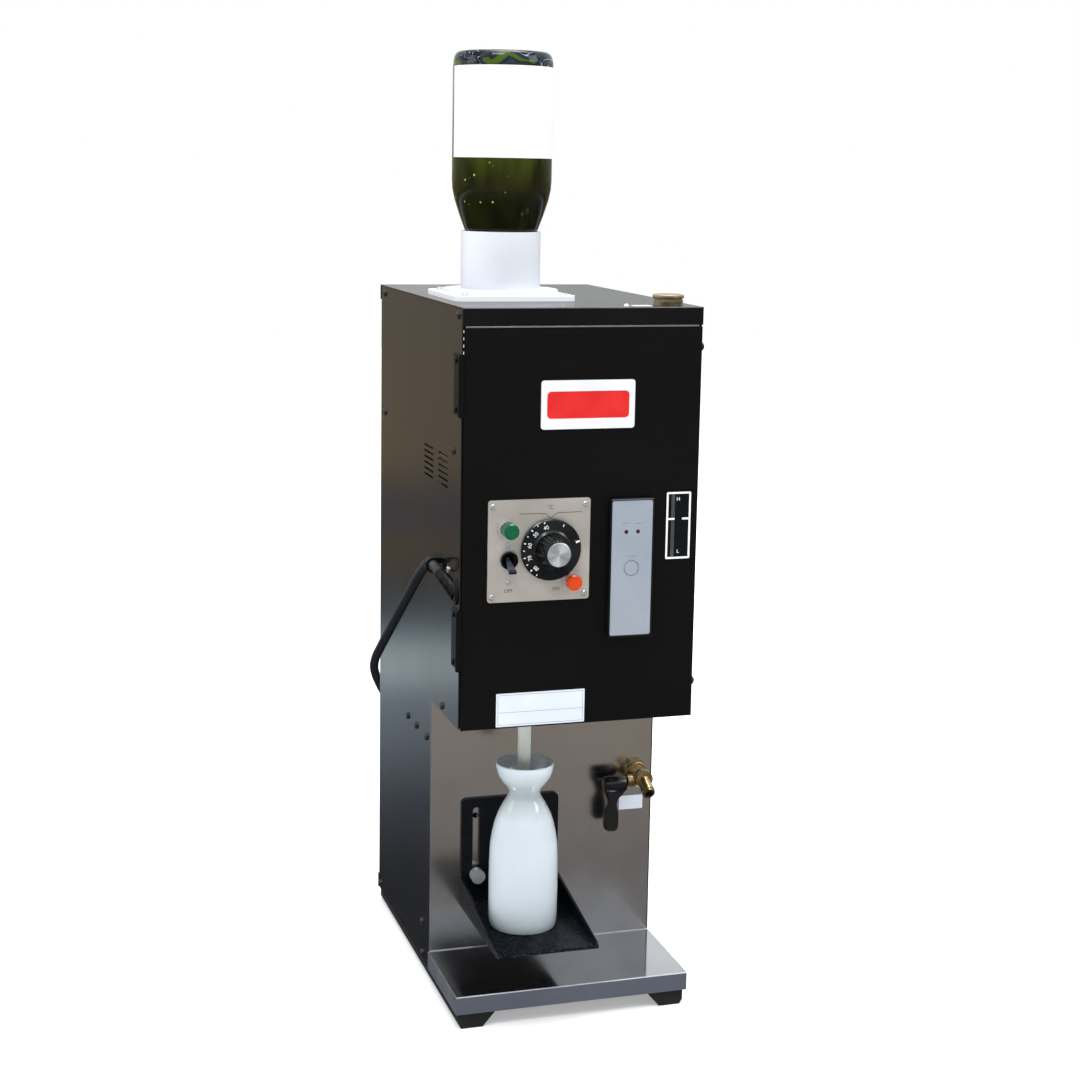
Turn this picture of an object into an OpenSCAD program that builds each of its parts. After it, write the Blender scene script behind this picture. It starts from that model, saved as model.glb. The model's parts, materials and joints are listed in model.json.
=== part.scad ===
// Sake warmer: a tall cabinet with a hinged control door, an inverted bottle,
// a heated water tank, a dispensing tube and an adjustable flask shelf.
// Millimetres, +Z up, front towards -Y. Every sub-part is one module.

/* [Housing] */
// Outside width across the two side panels
housing_w = 240; // [236:1:244]
// Height of the top cover above the floor
housing_h = 710; // [706:1:714]
// Rear edge of the side panels behind the door face
side_rear = 352; // [348:1:356]
// Front face of the lower column behind the door face
column_y = 110.6; // [108:0.2:113]
// Underside of the overhanging head
head_z = 304; // [302:1:306]
// Sheet thickness of the painted covers
sheet = 1.5; // [1.2:0.1:2]

/* [Tray and runners] */
// Top of the drip tray
tray_z = 34.3; // [30:0.1:38]
// Underside of the tray and of the side panels
tray_under = 16; // [14:0.5:18]
// Front edge of the drip tray
tray_front = -6.6; // [-10:0.2:-4]

/* [Door] */
// Top edge of the door
door_top = 691.2; // [688:0.2:694]
// Swing axis of the door, X
hinge_x = -121.5; // [-123:0.1:-120]
// Swing axis of the door, Y
hinge_y = -1.5; // [-3:0.1:0]
// Radius of the hinge knuckles
knuckle_r = 3; // [2.5:0.1:3.5]

/* [Bottle] */
// Axis of the bottle, X
bottle_x = -43; // [-46:1:-40]
// Axis of the bottle, Y
bottle_y = 146; // [140:1:152]
// Radius of the bottle body
bottle_r = 50; // [48:0.5:52]
// Underside of the mouth of the inverted bottle
mouth_z = 645; // [640:1:650]
// Height of the bottle's base when it is in place
bottle_top = 954; // [948:1:960]

/* [Shelf and flask] */
// Middle of the shelf, X
shelf_x = -35; // [-37:1:-33]
// Width of the shelf
shelf_w = 104; // [100:1:108]
// Underside of the shelf floor
shelf_z = 81; // [76:1:90]
// Front edge of the shelf floor
shelf_front = -31; // [-36:1:-26]
// Axis of the flask, X
flask_x = -40; // [-42:1:-38]
// Axis of the flask, Y
flask_y = 42; // [38:1:46]

/* [Controls] */
// Axis of the dial, X
dial_x = -31.2; // [-34:0.1:-28]
// Axis of the dial, Z
dial_z = 478.2; // [475:0.1:481]
// Radius of the dial skirt
dial_r = 30; // [28:0.5:32]

/* [Mains cord] */
// Diameter of the cord
cord_d = 10; // [8:0.5:11]

/* [Hidden] */
$fn = 48;
// shift of the whole model, so that the base centre is the origin
dx = 0;
dy = -163.5;
hw = housing_w / 2;
shelf_l = shelf_x - shelf_w / 2;
shelf_r = shelf_x + shelf_w / 2;
col = column_y;
cord_r = cord_d / 2;
// levels and places that several parts share
thumb_xl = -71.6;
thumb_xr = -1.4;
thumb_lo = 116;
thumb_hi = 178;
cock_x = 101.5;
cock_z = 214.7;
cock_y = 90;
lever_z = 209;
cap_x = 99;
cap_y = 42;
lamp_g = [-76.2, 500.5];
lamp_o = [-9, 446];
tog = [-72.6, 469.2];
memb = [50.3, 457.1];
gauge = [99.9, 496.7];
tank = [-18, 112, 66, 320, 350, 618];
gland_p = [-124.5, 22.8, 442.8];
gland_d = [-0.45, 0.68, 0.579];
coil_c = [-20, 445];
coil_r = 55;
// route of the mains cord, from the gland to the coil
route = [[-124.5, 22.8, 442.8], [-127.8, 29.9, 447.6], [-130, 38.8, 451.2], [-131, 50.5, 453.6], [-131, 66, 454], [-130, 90, 450], [-128.5, 120, 437], [-127.5, 150, 420], [-127, 180, 401], [-126.5, 210, 382], [-126.5, 240, 362], [-126.5, 270, 342], [-126.5, 300, 322], [-126.5, 325, 305], [-126.5, 348, 288], [-123, 368, 269], [-112, 382, 245], [-96, 389, 217], [-83, 391, 185], [-77, 393, 150], [-75, 396, 118], [-75, 397, 90], [-75, 397, 62], [-75, 401, 43.5], [-75, 411, 28], [-75, 426.5, 17.5], [-75, 445, 13.7]];

module at_row() { translate([dx, dy, 0]) children(); }
// a cylinder along X, Y or Z that starts at p
module cx(p, r, l, f = 48) { translate(p) rotate([0, 90, 0]) cylinder(r = r, h = l, $fn = f); }
module cy(p, r, l, f = 48) { translate(p) rotate([-90, 0, 0]) cylinder(r = r, h = l, $fn = f); }
module cz(p, r, l, f = 48) { translate(p) cylinder(r = r, h = l, $fn = f); }
module box(a, b) { translate(a) cube(b - a); }
// a flat plate in the XZ plane with round corners, front face at y
module plate_xz(x0, x1, z0, z1, y, t, r) {
  translate([0, y + t, 0]) rotate([90, 0, 0]) linear_extrude(height = t)
    union() {
      translate([x0 + r, z0]) square([x1 - x0 - 2 * r, z1 - z0]);
      translate([x0, z0 + r]) square([x1 - x0, z1 - z0 - 2 * r]);
      for (x = [x0 + r, x1 - r], z = [z0 + r, z1 - r]) translate([x, z]) circle(r = r, $fn = 24);
    }
}
// a pan head with its recess, on the plane x, standing out along s
module pan_x(x, y, z, s, r = 3.8, h = 2.2) {
  translate([x, y, z]) rotate([0, 90 * s, 0]) difference() {
    rotate_extrude($fn = 32) polygon([[0, 0], [r, 0], [r, h * 0.45], [r * 0.82, h * 0.85], [r * 0.5, h], [0, h]]);
    for (a = [0, 90]) rotate([0, 0, a]) translate([-r * 0.5, -r * 0.1, h * 0.5]) cube([r, r * 0.2, h]);
  }
}
module pan_y(x, y, z, r = 3, h = 1.8) {
  translate([x, y, z]) rotate([90, 0, 0]) difference() {
    rotate_extrude($fn = 32) polygon([[0, 0], [r, 0], [r, h * 0.45], [r * 0.82, h * 0.85], [r * 0.5, h], [0, h]]);
    for (a = [0, 90]) rotate([0, 0, a + 20]) translate([-r * 0.5, -r * 0.1, h * 0.5]) cube([r, r * 0.2, h]);
  }
}
module pan_z(x, y, z, r = 4, h = 2.4) {
  translate([x, y, z]) difference() {
    rotate_extrude($fn = 32) polygon([[0, 0], [r, 0], [r, h * 0.45], [r * 0.82, h * 0.85], [r * 0.5, h], [0, h]]);
    for (a = [0, 90]) rotate([0, 0, a + 30]) translate([-r * 0.5, -r * 0.1, h * 0.5]) cube([r, r * 0.2, h]);
  }
}

// sweep helpers for the cord
function unit(v) = v / norm(v);
function tangent(p, i) = unit(p[min(i + 1, len(p) - 1)] - p[max(i - 1, 0)]);
function across(t) = unit(cross(t, [1, 0.1, 0.15]));
function ring(p, i, r, n) = let(t = i == 0 ? gland_d : i == len(p) - 1 ? [0, 1, 0] : tangent(p, i), a = across(t), b = cross(t, a)) [for (k = [0:n - 1]) p[i] + r * (cos(360 * k / n) * a + sin(360 * k / n) * b)];
function flat(v) = [for (a = v) for (b = a) b];
module swept(p, r, n) {
  m = len(p);
  polyhedron(points = flat([for (i = [0:m - 1]) ring(p, i, r, n)]),
    faces = concat([[for (k = [0:n - 1]) n - 1 - k]],
      [for (i = [0:m - 2], k = [0:n - 1]) [i * n + k, i * n + (k + 1) % n, (i + 1) * n + (k + 1) % n, (i + 1) * n + k]],
      [[for (k = [0:n - 1]) (m - 1) * n + k]]));
}

// ---------------- cabinet ----------------
module side_shape() {
  polygon([[3.3, head_z], [col + 2.2, head_z], [col + 2.2, tray_under], [side_rear, tray_under], [side_rear, housing_h - sheet], [3.3, housing_h - sheet]]);
}
module side_sheet(x) {
  translate([x, 0, 0]) rotate([90, 0, 90]) linear_extrude(height = sheet) side_shape();
}
module side_panel_left() {
  color([0.1, 0.1, 0.1]) at_row() difference() {
    union() {
      side_sheet(-hw);
      // rear return that the rear cover is screwed to
      box([-hw + sheet, side_rear - sheet, 40], [-hw + 14, side_rear, 690]);
      // return beside the stainless column
      box([-hw + sheet, col + 2.1, 40], [-hw + 14, col + 3.6, head_z - 2]);
    }
    for (k = [0:5]) box([-hw - 1, 109.5, 531.7 + 5.87 * k], [-hw + 3, 147.5, 533.7 + 5.87 * k]);
    for (k = [1:5]) box([-hw - 1, 51, 531.7 + 5.87 * k], [-hw + 3, 89, 533.7 + 5.87 * k]);
    box([-hw - 1, 52, 531.7], [-hw + 3, 77, 533.7]);
    cx([-hw - 1, 87, 532.7], 1.4, 4, 24);
    cx([-hw - 1, 16, 437], 12, 4);
  }
}
module side_panel_right() {
  color([0.1, 0.1, 0.1]) at_row() difference() {
    union() {
      side_sheet(hw - sheet);
      box([hw - 14, side_rear - sheet, 40], [hw - sheet, side_rear, 690]);
      box([hw - 14, col + 2.1, 40], [hw - sheet, col + 3.6, head_z - 2]);
    }
    for (k = [0:5], y = [109.5, 51]) box([hw - 3, y, 531.7 + 5.87 * k], [hw + 1, y + 38, 533.7 + 5.87 * k]);
    // clear of the nut of the drain cock
    box([hw - 15, col + 1.5, cock_z - 14], [hw - 3, col + 4.4, cock_z + 14]);
  }
}
module top_cover() {
  color([0.13, 0.13, 0.13]) at_row() difference() {
    union() {
      box([-hw, 0, housing_h - sheet], [hw, side_rear + 6, housing_h]);
      box([-hw, 0, door_top + 1.6], [hw, sheet, housing_h - sheet]);
      box([-hw, side_rear + 4.5, housing_h - 16], [hw, side_rear + 6, housing_h - sheet]);
      box([-hw + sheet + 0.1, 6, housing_h - 14], [-hw + 2 * sheet, side_rear - 4, housing_h - sheet]);
      box([hw - 2 * sheet, 6, housing_h - 14], [hw - sheet - 0.1, side_rear - 4, housing_h - sheet]);
    }
    cz([bottle_x, bottle_y, housing_h - 3], 33, 6, 64);
    cz([cap_x, cap_y, housing_h - 3], 10.1, 6);
  }
}
module rear_cover() {
  color([0.12, 0.12, 0.12]) at_row() difference() {
    box([-hw + 0.5, side_rear + 0.1, 34], [hw - 0.5, side_rear + 1.6, housing_h - 18]);
    for (k = [0:7], x = [-70, 10]) box([x, side_rear - 1, 600 + 8 * k], [x + 60, side_rear + 3, 603 + 8 * k]);
    for (k = [0:5], x = [-70, 10]) box([x, side_rear - 1, 90 + 8 * k], [x + 60, side_rear + 3, 93 + 8 * k]);
  }
}
module column_panel() {
  color([0.7, 0.71, 0.72]) at_row() difference() {
    union() {
      box([-hw + 0.1, col, tray_under + 2.1], [hw - 0.1, col + 2, head_z - 0.1]);
    }
    for (x = [thumb_xl, thumb_xr], z = [thumb_lo, thumb_hi]) cy([x, col - 1, z], 3.05, 6, 32);
    cy([cock_x, col - 1, cock_z], 8.1, 6);
  }
}
module head_floor() {
  color([0.68, 0.69, 0.7]) at_row() difference() {
    union() {
      box([-hw + sheet + 0.2, 4, head_z + 0.6], [hw - sheet - 0.2, col + 70, head_z + 2.1]);
      box([-hw + sheet + 0.2, 13, head_z + 2.1], [hw - sheet - 0.2, 14.5, head_z + 14]);
    }
    cz([flask_x - 1, flask_y, head_z - 2], 9.1, 8);
    cz([cock_x, 146, head_z - 2], 9, 8);
  }
}
module drip_tray() {
  color([0.7, 0.71, 0.72]) at_row() {
    difference() {
      box([-hw - 1, tray_front, tray_under], [hw + 1, col - 0.1, tray_z]);
      box([-hw + 0.5, tray_front + 1.5, tray_under - 1], [hw - 0.5, col + 1, tray_z - 1.5]);
    }
  }
}
module base_plate() {
  color([0.1, 0.1, 0.1]) at_row() difference() {
    union() {
      box([-hw + sheet + 0.2, 2, tray_under], [hw - sheet - 0.2, side_rear + 5, tray_under + 2]);
      box([-hw + sheet + 0.2, col + 4, tray_under + 2], [hw - sheet - 0.2, col + 6, tray_under + 16]);
      box([-hw, side_rear + 4.5, tray_under - 2], [hw, side_rear + 6, tray_under + 14]);
    }
    for (x = [-60, 0, 60], y = [180, 240, 300]) cz([x, y, tray_under - 3], 12, 8);
  }
}
module runner_shape(s) {
  polygon([[s * 118, tray_under], [s * 118, 5], [s * 115, 0], [s * 93, 0], [s * 79, tray_under]]);
}
module runners() {
  color([0.06, 0.06, 0.06]) at_row() for (s = [-1, 1]) translate([0, side_rear, 0]) rotate([90, 0, 0]) linear_extrude(height = side_rear + 3.5) runner_shape(s);
}
module cabinet_screws() {
  color([0.15, 0.15, 0.16]) at_row() {
    for (p = [[334, 702], [16, 702], [331, 571.5], [30, 571.5], [64.6, 310.7], [211, 259.6], [172.6, 259.7], [127.5, 260.6], [346, 22], [140.5, 56], [139.2, 22]]) pan_x(-hw, p[0], p[1], -1);
    for (p = [[334, 702], [16, 702], [331, 571.5], [30, 571.5], [64.6, 310.7], [211, 259.6], [127.5, 260.6], [346, 22], [140.5, 56], [139.2, 22]]) pan_x(hw, p[0], p[1], 1);
  }
}
// fixed leaf with two knuckles, from z0 to z0 + 58
module hinge_leaf(z0) {
  difference() {
    union() {
      box([-hw - 1.5, hinge_y, z0], [-hw, 26, z0 + 58]);
      cz([hinge_x, hinge_y, z0], knuckle_r, 58, 32);
    }
    box([-hw - 10, -10, z0 + 14], [-hw + 4, 3.4, z0 + 44]);
  }
  cz([hinge_x, hinge_y, z0 - 1], 1.5, 60, 24);
  for (z = [z0 + 5, z0 + 52]) pan_x(-hw - 1.5, 17, z, -1, 3, 1.6);
}
module hinge_fixed() { color([0.08, 0.08, 0.08]) at_row() for (z = [608, 363]) hinge_leaf(z); }
module door_catches() {
  color([0.2, 0.2, 0.21]) at_row() for (z = [671, 337]) {
    cx([hw, 9, z], 4.2, 3.2, 32);
    cx([hw + 3.2, 9, z], 2.6, 1.3, 6);
  }
}
module bottle_collar() {
  color([0.93, 0.94, 0.95]) at_row() difference() {
    union() {
      translate([bottle_x - 62, bottle_y - 62, housing_h]) linear_extrude(height = 5) difference() {
        union() {
          translate([10, 0]) square([104, 124]);
          translate([0, 10]) square([124, 104]);
          for (x = [10, 114], y = [10, 114]) translate([x, y]) circle(r = 10, $fn = 32);
        }
      }
      translate([bottle_x, bottle_y, housing_h + 5]) rotate_extrude($fn = 96) polygon([[34, -1], [58.5, -1], [58.5, 2.6], [58.1, 3.6], [57.1, 4], [34, 4]]);
      cz([bottle_x, bottle_y, housing_h], 40, 66.5, 96);
    }
    cz([bottle_x, bottle_y, housing_h + 5], 37, 70, 96);
    cz([bottle_x, bottle_y, housing_h - 1], 33, 10, 64);
  }
}
module collar_screws() {
  color([0.6, 0.6, 0.62]) at_row() for (x = [-50, 50], y = [-50, 50]) pan_z(bottle_x + x, bottle_y + y, housing_h + 5);
}
// cup below the cover that takes the mouth of the bottle
module bottle_socket() {
  color([0.75, 0.76, 0.77]) at_row() translate([bottle_x, bottle_y, 0]) difference() {
    rotate_extrude($fn = 64) polygon([[7, mouth_z - 30], [9, mouth_z - 30], [9, mouth_z - 2.5], [32.9, mouth_z - 2.5], [32.9, housing_h - sheet - 2], [42, housing_h - sheet - 2], [42, housing_h - sheet], [32, housing_h - sheet], [32, mouth_z], [7, mouth_z]]);
  }
}
// down the back of the tank, into the pump
module sake_pipe() {
  color([0.85, 0.86, 0.88]) at_row() {
    cz([bottle_x, bottle_y, 411], 6, mouth_z - 30 - 411, 32);
    cz([bottle_x, bottle_y, 411], 8.5, 14, 32);
    cz([bottle_x, bottle_y, mouth_z - 44], 8.5, 14, 32);
  }
}
module sake_pump() {
  color([0.25, 0.26, 0.3]) at_row() {
    cz([bottle_x, bottle_y, 336], 21, 60);
    cz([bottle_x, bottle_y, 396], 12, 15, 32);
    box([bottle_x - 24, bottle_y - 24, 326], [bottle_x + 24, bottle_y + 24, 336]);
    box([bottle_x - 5, flask_y + 12, 340], [bottle_x + 5, bottle_y - 20, 350]);
    for (x = [-20, 20], y = [-20, 20]) cz([bottle_x + x, bottle_y + y, head_z + 2.1], 3, 326 - head_z - 2.1, 24);
  }
}
module nozzle_fitting() {
  color([0.8, 0.81, 0.83]) at_row() translate([flask_x - 1, flask_y, 0]) rotate_extrude($fn = 48) polygon([[4.6, head_z - 3], [8.9, head_z - 3], [8.9, head_z + 2.2], [12, head_z + 2.2], [12, 356], [0, 356], [0, 352], [4.6, 352]]);
}
module dispense_tube() {
  color([0.9, 0.92, 0.9, 0.9]) at_row() translate([flask_x - 1, flask_y, 0]) rotate_extrude($fn = 48) polygon([[4.4, 245], [6.6, 245], [6.6, head_z - 3.1], [4.4, head_z - 3.1]]);
}
module water_tank() {
  color([0.74, 0.75, 0.76]) at_row() {
    difference() {
      box([tank[0], tank[2], tank[4]], [tank[1], tank[3], tank[5]]);
      box([tank[0] + 1.5, tank[2] + 1.5, tank[4] + 1.5], [tank[1] - 1.5, tank[3] - 1.5, tank[5] + 1]);
      cy([60, tank[2] - 1, 372], 5, 4, 32);
      cy([84, tank[2] - 1, 372], 5, 4, 32);
    }
    // legs on the head floor and on the rear stand
    for (x = [tank[0] + 4, tank[1] - 24]) box([x, tank[2] + 2, head_z + 2.1], [x + 20, tank[2] + 24, tank[4]]);
    for (x = [tank[0] + 4, tank[1] - 24]) box([x, tank[3] - 24, tray_under + 2], [x + 20, tank[3] - 2, tank[4]]);
  }
}
module tank_lid() {
  color([0.72, 0.73, 0.74]) at_row() difference() {
    union() {
      box([tank[0] - 2, tank[2] - 2, tank[5]], [tank[1] + 2, tank[3] + 2, tank[5] + 1.5]);
      for (y = [tank[2] - 2, tank[3] + 0.6]) box([tank[0] - 2, y, tank[5] - 10], [tank[1] + 2, y + 1.4, tank[5]]);
    }
    cz([cap_x, 86, tank[5] - 2], 9, 6);
  }
}
module heater_element() {
  color([0.5, 0.45, 0.4]) at_row() {
    for (x = [60, 84]) {
      cy([x, tank[2] - 12, 372], 4, 230, 32);
      cy([x, tank[2] - 10, 372], 7, 10, 6);
    }
    box([56, tank[2] + 214, 368], [88, tank[2] + 220, 376]);
  }
}
// threaded neck in the cover with a cranked pipe into the tank
module filler_neck() {
  color([0.72, 0.56, 0.28]) at_row() difference() {
    union() {
      cz([cap_x, cap_y, 638], 10, housing_h + 4 - 638, 48);
      cz([cap_x, cap_y, housing_h - 7], 14.5, 5, 6);
      cz([cap_x, cap_y, housing_h], 14.2, 1.2, 48);
      cy([cap_x, cap_y, 648], 8, 44, 48);
      cz([cap_x, 86, 606], 8, 52, 48);
    }
    cz([cap_x, cap_y, 650], 8, 80, 48);
  }
}
module sight_tube() {
  color([0.8, 0.85, 0.9, 0.4]) at_row() translate([gauge[0], 22, 0]) rotate_extrude($fn = 32) polygon([[3.4, 452], [5, 452], [5, 545], [3.4, 545]]);
}
// fittings of the sight tube, and the pipe down to the drain cock
module tank_pipes() {
  color([0.72, 0.56, 0.28]) at_row() {
    for (z = [438, 545]) {
      cz([gauge[0], 22, z], 8, 14, 32);
      cy([gauge[0], 28, z + 7], 5, tank[2] - 28, 32);
      cy([gauge[0], tank[2] - 8, z + 7], 8.5, 8, 6);
    }
    cz([cock_x, 146, cock_z - 8], 7, tank[4] - cock_z + 8, 32);
    cy([cock_x, col + 14, cock_z], 7, 146 - col - 14, 32);
    cz([cock_x, 146, tank[4] - 14], 10.5, 12, 6);
  }
}
// brass cock: flange nut on the column, cross body, drooping outlet
module drain_cock() {
  color([0.7, 0.52, 0.24]) at_row() difference() {
    union() {
      cy([cock_x, col + 2, cock_z], 8, 12, 32);
      cy([cock_x, col + 4, cock_z], 13, 5, 6);
      cy([cock_x, col - 8, cock_z], 8, 10, 32);
      cy([cock_x, col - 7, cock_z], 12.4, 6.8, 6);
      cy([cock_x, cock_y - 12, cock_z - 2], 9, 26, 32);
      translate([cock_x, cock_y - 2, cock_z - 3]) sphere(r = 10.5, $fn = 32);
      cx([cock_x - 15.5, cock_y, lever_z], 6.5, 15.5, 32);
      translate([cock_x, cock_y - 8, cock_z - 3]) rotate([118, 0, 0]) cylinder(r = 6.4, h = 20.5, $fn = 32);
      translate([cock_x, cock_y - 8, cock_z - 3]) rotate([118, 0, 0]) translate([0, 0, 14]) cylinder(r = 7, h = 4, $fn = 32);
    }
    translate([cock_x, cock_y - 8, cock_z - 3]) rotate([118, 0, 0]) translate([0, 0, 6]) cylinder(r = 4, h = 30, $fn = 32);
    cx([cock_x - 17, cock_y, lever_z], 3, 12, 24);
  }
}
module electrics_box() {
  color([0.6, 0.62, 0.64]) at_row() {
    box([-hw + 3, 200, 340], [-hw + 5, 340, 600]);
    box([-hw + 5, 214, 360], [-hw + 45, 326, 440]);
    box([-hw + 5, 220, 470], [-hw + 25, 270, 540]);
    box([-hw + 5, 286, 470], [-hw + 30, 326, 510]);
    for (k = [0:5]) box([-hw + 5, 216 + 16 * k, 560], [-hw + 20, 229 + 16 * k, 576]);
  }
}

// ---------------- mains cord ----------------
module cord_gland() {
  color([0.07, 0.07, 0.07]) at_row() difference() {
    union() {
      cx([-hw - 2.5, 16, 437], 13.5, 2.5, 40);
      cx([-hw, 16, 437], 11.9, sheet, 40);
      cx([-hw + sheet, 16, 437], 13.5, 2.5, 40);
      translate(gland_p) rotate([0, 125.4, -56.5]) cylinder(r = 8, h = 10, $fn = 40);
    }
    box([-hw + 5, 0, 430], [-hw + 30, 60, 470]);
  }
}
module cord_clip() {
  color([0.08, 0.08, 0.08]) at_row() {
    difference() {
      union() {
        cy([-130.8, 64, 453.6], 7.4, 10, 40);
        box([-130.8, 64, 453.6], [-hw, 74, 461]);
      }
      cy([-130.9, 60, 453.6], 5.45, 20, 40);
      box([-126.4, 60, 440], [-hw, 80, 455.6]);
    }
    box([-hw - 2, 60, 446.5], [-hw, 85, 461]);
    pan_x(-hw - 2, 79.5, 453.5, -1, 3, 1.5);
  }
}
module cord_run() { color([0.05, 0.05, 0.05]) at_row() swept(route, cord_r, 10); }
module cord_coil() {
  color([0.05, 0.05, 0.05]) at_row() translate([coil_c[0], coil_c[1], 0]) rotate_extrude($fn = 64) polygon([[coil_r - 10, 1.5], [coil_r - 8.5, 0], [coil_r + 8.5, 0], [coil_r + 10, 1.5], [coil_r + 10, 9], [coil_r + 4.5, 18.6], [coil_r - 4.5, 18.6], [coil_r - 10, 9]]);
}
module cord_tail() { color([0.05, 0.05, 0.05]) at_row() cx([coil_c[0] + 6, coil_c[1] + coil_r + 5, cord_r], cord_r, 52, 32); }
module mains_plug() {
  color([0.05, 0.05, 0.05]) at_row() translate([coil_c[0] + 58, coil_c[1] + coil_r + 5, 0]) {
    difference() {
      union() {
        box([14, -13, 0], [46, 13, 20]);
        translate([0, 0, 5.5]) rotate([0, 90, 0]) cylinder(r1 = 5.4, r2 = 5.4, h = 14, $fn = 32);
        box([4, -8, 0], [14, 8, 14]);
      }
    }
    for (y = [-6.35, 6.35]) box([46, y - 0.75, 7], [63, y + 0.75, 13.3]);
  }
}

// ---------------- door ----------------
module door_shell() {
  color([0.06, 0.06, 0.06]) at_row() difference() {
    union() {
      box([-118.2, 0, head_z - 1], [hw - 0.5, 1.5, door_top]);
      box([-115.8, 1.5, head_z + 3.5], [-114.6, 11.5, door_top - 3]);
      box([hw - 4, 1.5, head_z + 3.5], [hw - 2.8, 11.5, door_top - 3]);
      box([-115.8, 1.5, door_top - 4.2], [hw - 2.8, 11.5, door_top - 3]);
      box([-115.8, 1.5, head_z + 3.5], [hw - 2.8, 11.5, head_z + 4.7]);
    }
    cy([dial_x, -1, dial_z], 5, 4, 32);
    cy([tog[0], -1, tog[1]], 6.2, 4, 32);
    cy([lamp_g[0], -1, lamp_g[1]], 6.5, 4, 32);
    cy([lamp_o[0], -1, lamp_o[1]], 6.5, 4, 32);
    box([gauge[0] - 10.5, -1, gauge[1] - 30.5], [gauge[0] + 10.5, 3, gauge[1] + 30.5]);
    box([memb[0] - 14, -1, memb[1] - 50], [memb[0] + 14, 3, memb[1] + 50]);
    // relief for the two hinge leaves
    for (z = [622, 377]) box([-119, 1.5, z - 1], [-98, 3.6, z + 31]);
  }
}
module hinge_door(z0) {
  difference() {
    union() {
      cz([hinge_x, hinge_y, z0], knuckle_r, 29.4, 32);
      box([hinge_x, 1.5 - 3, z0], [-118.3, 1.5, z0 + 29.4]);
      box([-119.4, -1.5, z0], [-118.3, 3, z0 + 29.4]);
      box([-119.4, 1.6, z0], [-99, 3, z0 + 29.4]);
    }
    cz([hinge_x, hinge_y, z0 - 1], 1.55, 40, 24);
  }
}
module door_hinge_leaves() {
  color([0.08, 0.08, 0.08]) at_row() for (z = [622.3, 377.3]) hinge_door(z);
}
module nameplate() { color([0.95, 0.95, 0.95]) at_row() plate_xz(-42.8, 51.3, 594.3, 641.1, -1.5, 1.5, 3); }
module control_plate() {
  color([0.78, 0.76, 0.7]) at_row() difference() {
    plate_xz(-93.6, 8.5, 428.2, 527.5, -1.5, 1.5, 3);
    cy([dial_x, -3, dial_z], 5, 6, 32);
    cy([tog[0], -3, tog[1]], 6.2, 6, 32);
    cy([lamp_g[0], -3, lamp_g[1]], 6.5, 6, 32);
    cy([lamp_o[0], -3, lamp_o[1]], 6.5, 6, 32);
  }
}
// body behind the door and the shaft that the dial sits on
module thermostat_body() {
  color([0.8, 0.8, 0.78]) at_row() {
    box([dial_x - 20, 3.5, dial_z - 20], [dial_x + 20, 34, dial_z + 20]);
    cy([dial_x, 1.6, dial_z], 14, 1.9, 32);
    cy([dial_x, -16, dial_z], 3, 18, 32);
    cz([dial_x, 25, dial_z - 34], 3, 14, 24);
  }
}
module switch_body() {
  color([0.1, 0.1, 0.1]) at_row() difference() {
    union() {
      box([tog[0] - 7, 1.6, tog[1] - 14], [tog[0] + 7, 24, tog[1] + 14]);
      cy([tog[0], -1.5, tog[1]], 6, 3.2, 32);
      cy([tog[0], -4.5, tog[1]], 8.6, 3, 40);
      for (z = [-8, 0, 8]) box([tog[0] - 3, 24, tog[1] + z - 0.5], [tog[0] + 3, 31, tog[1] + z + 0.5]);
    }
    translate([tog[0], 5, tog[1]]) sphere(r = 4.35, $fn = 32);
    translate([tog[0], 5, tog[1]]) rotate([90, 0, 0]) cylinder(r1 = 3.2, r2 = 7.6, h = 9.6, $fn = 32);
    cx([tog[0] - 5.6, 5, tog[1]], 1.15, 11.2, 24);
  }
}
module lamp_bezels() {
  color([0.75, 0.75, 0.76]) at_row() {
    difference() {
      union() { cy([lamp_g[0], -3, lamp_g[1]], 9.4, 1.5, 40); cy([lamp_g[0], -11, lamp_g[1]], 8.3, 8, 40); }
      cy([lamp_g[0], -12, lamp_g[1]], 6.6, 12, 40);
    }
    difference() {
      union() { cy([lamp_o[0], -2.2, lamp_o[1]], 10, 0.7, 40); cy([lamp_o[0], -6, lamp_o[1]], 8.7, 4, 40); }
      cy([lamp_o[0], -7, lamp_o[1]], 6.6, 12, 40);
    }
  }
}
// lens with its lamp body behind the door; d is how far it stands out
module lamp_lens(p, d, b) {
  translate([p[0], 0, p[1]]) rotate([90, 0, 0]) rotate_extrude($fn = 40) polygon([[0, -22], [6.2, -22], [6.2, b], [7.6, b], [7.6, d - 1.6], [6.6, d - 0.4], [4.5, d], [0, d]]);
}
module lamp_green() { color([0.1, 0.5, 0.25]) at_row() lamp_lens(lamp_g, 24, 11.1); }
module lamp_orange() { color([0.9, 0.3, 0.1]) at_row() lamp_lens(lamp_o, 12.5, 6.1); }
// dark case that stands out of the door, with a pocket for the membrane panel
module membrane_case() {
  color([0.04, 0.04, 0.045]) at_row() difference() {
    plate_xz(memb[0] - 22.4, memb[0] + 22.4, memb[1] - 68.6, memb[1] + 68.4, -6, 6, 3);
    plate_xz(memb[0] - 20.9, memb[0] + 20.9, memb[1] - 66.8, memb[1] + 66.8, -7, 3.6, 2);
    box([memb[0] - 14, -5, memb[1] - 50], [memb[0] + 14, 1, memb[1] + 50]);
  }
}
module membrane_panel() {
  color([0.72, 0.73, 0.76]) at_row() difference() {
    plate_xz(memb[0] - 20.8, memb[0] + 20.8, memb[1] - 66.7, memb[1] + 66.7, -5.7, 2.3, 2);
    cy([memb[0], -7, memb[1]], 7.3, 8, 40);
    for (x = [-6, 6]) cy([memb[0] + x, -7, memb[1] + 36], 1.6, 2.2, 24);
  }
}
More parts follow.
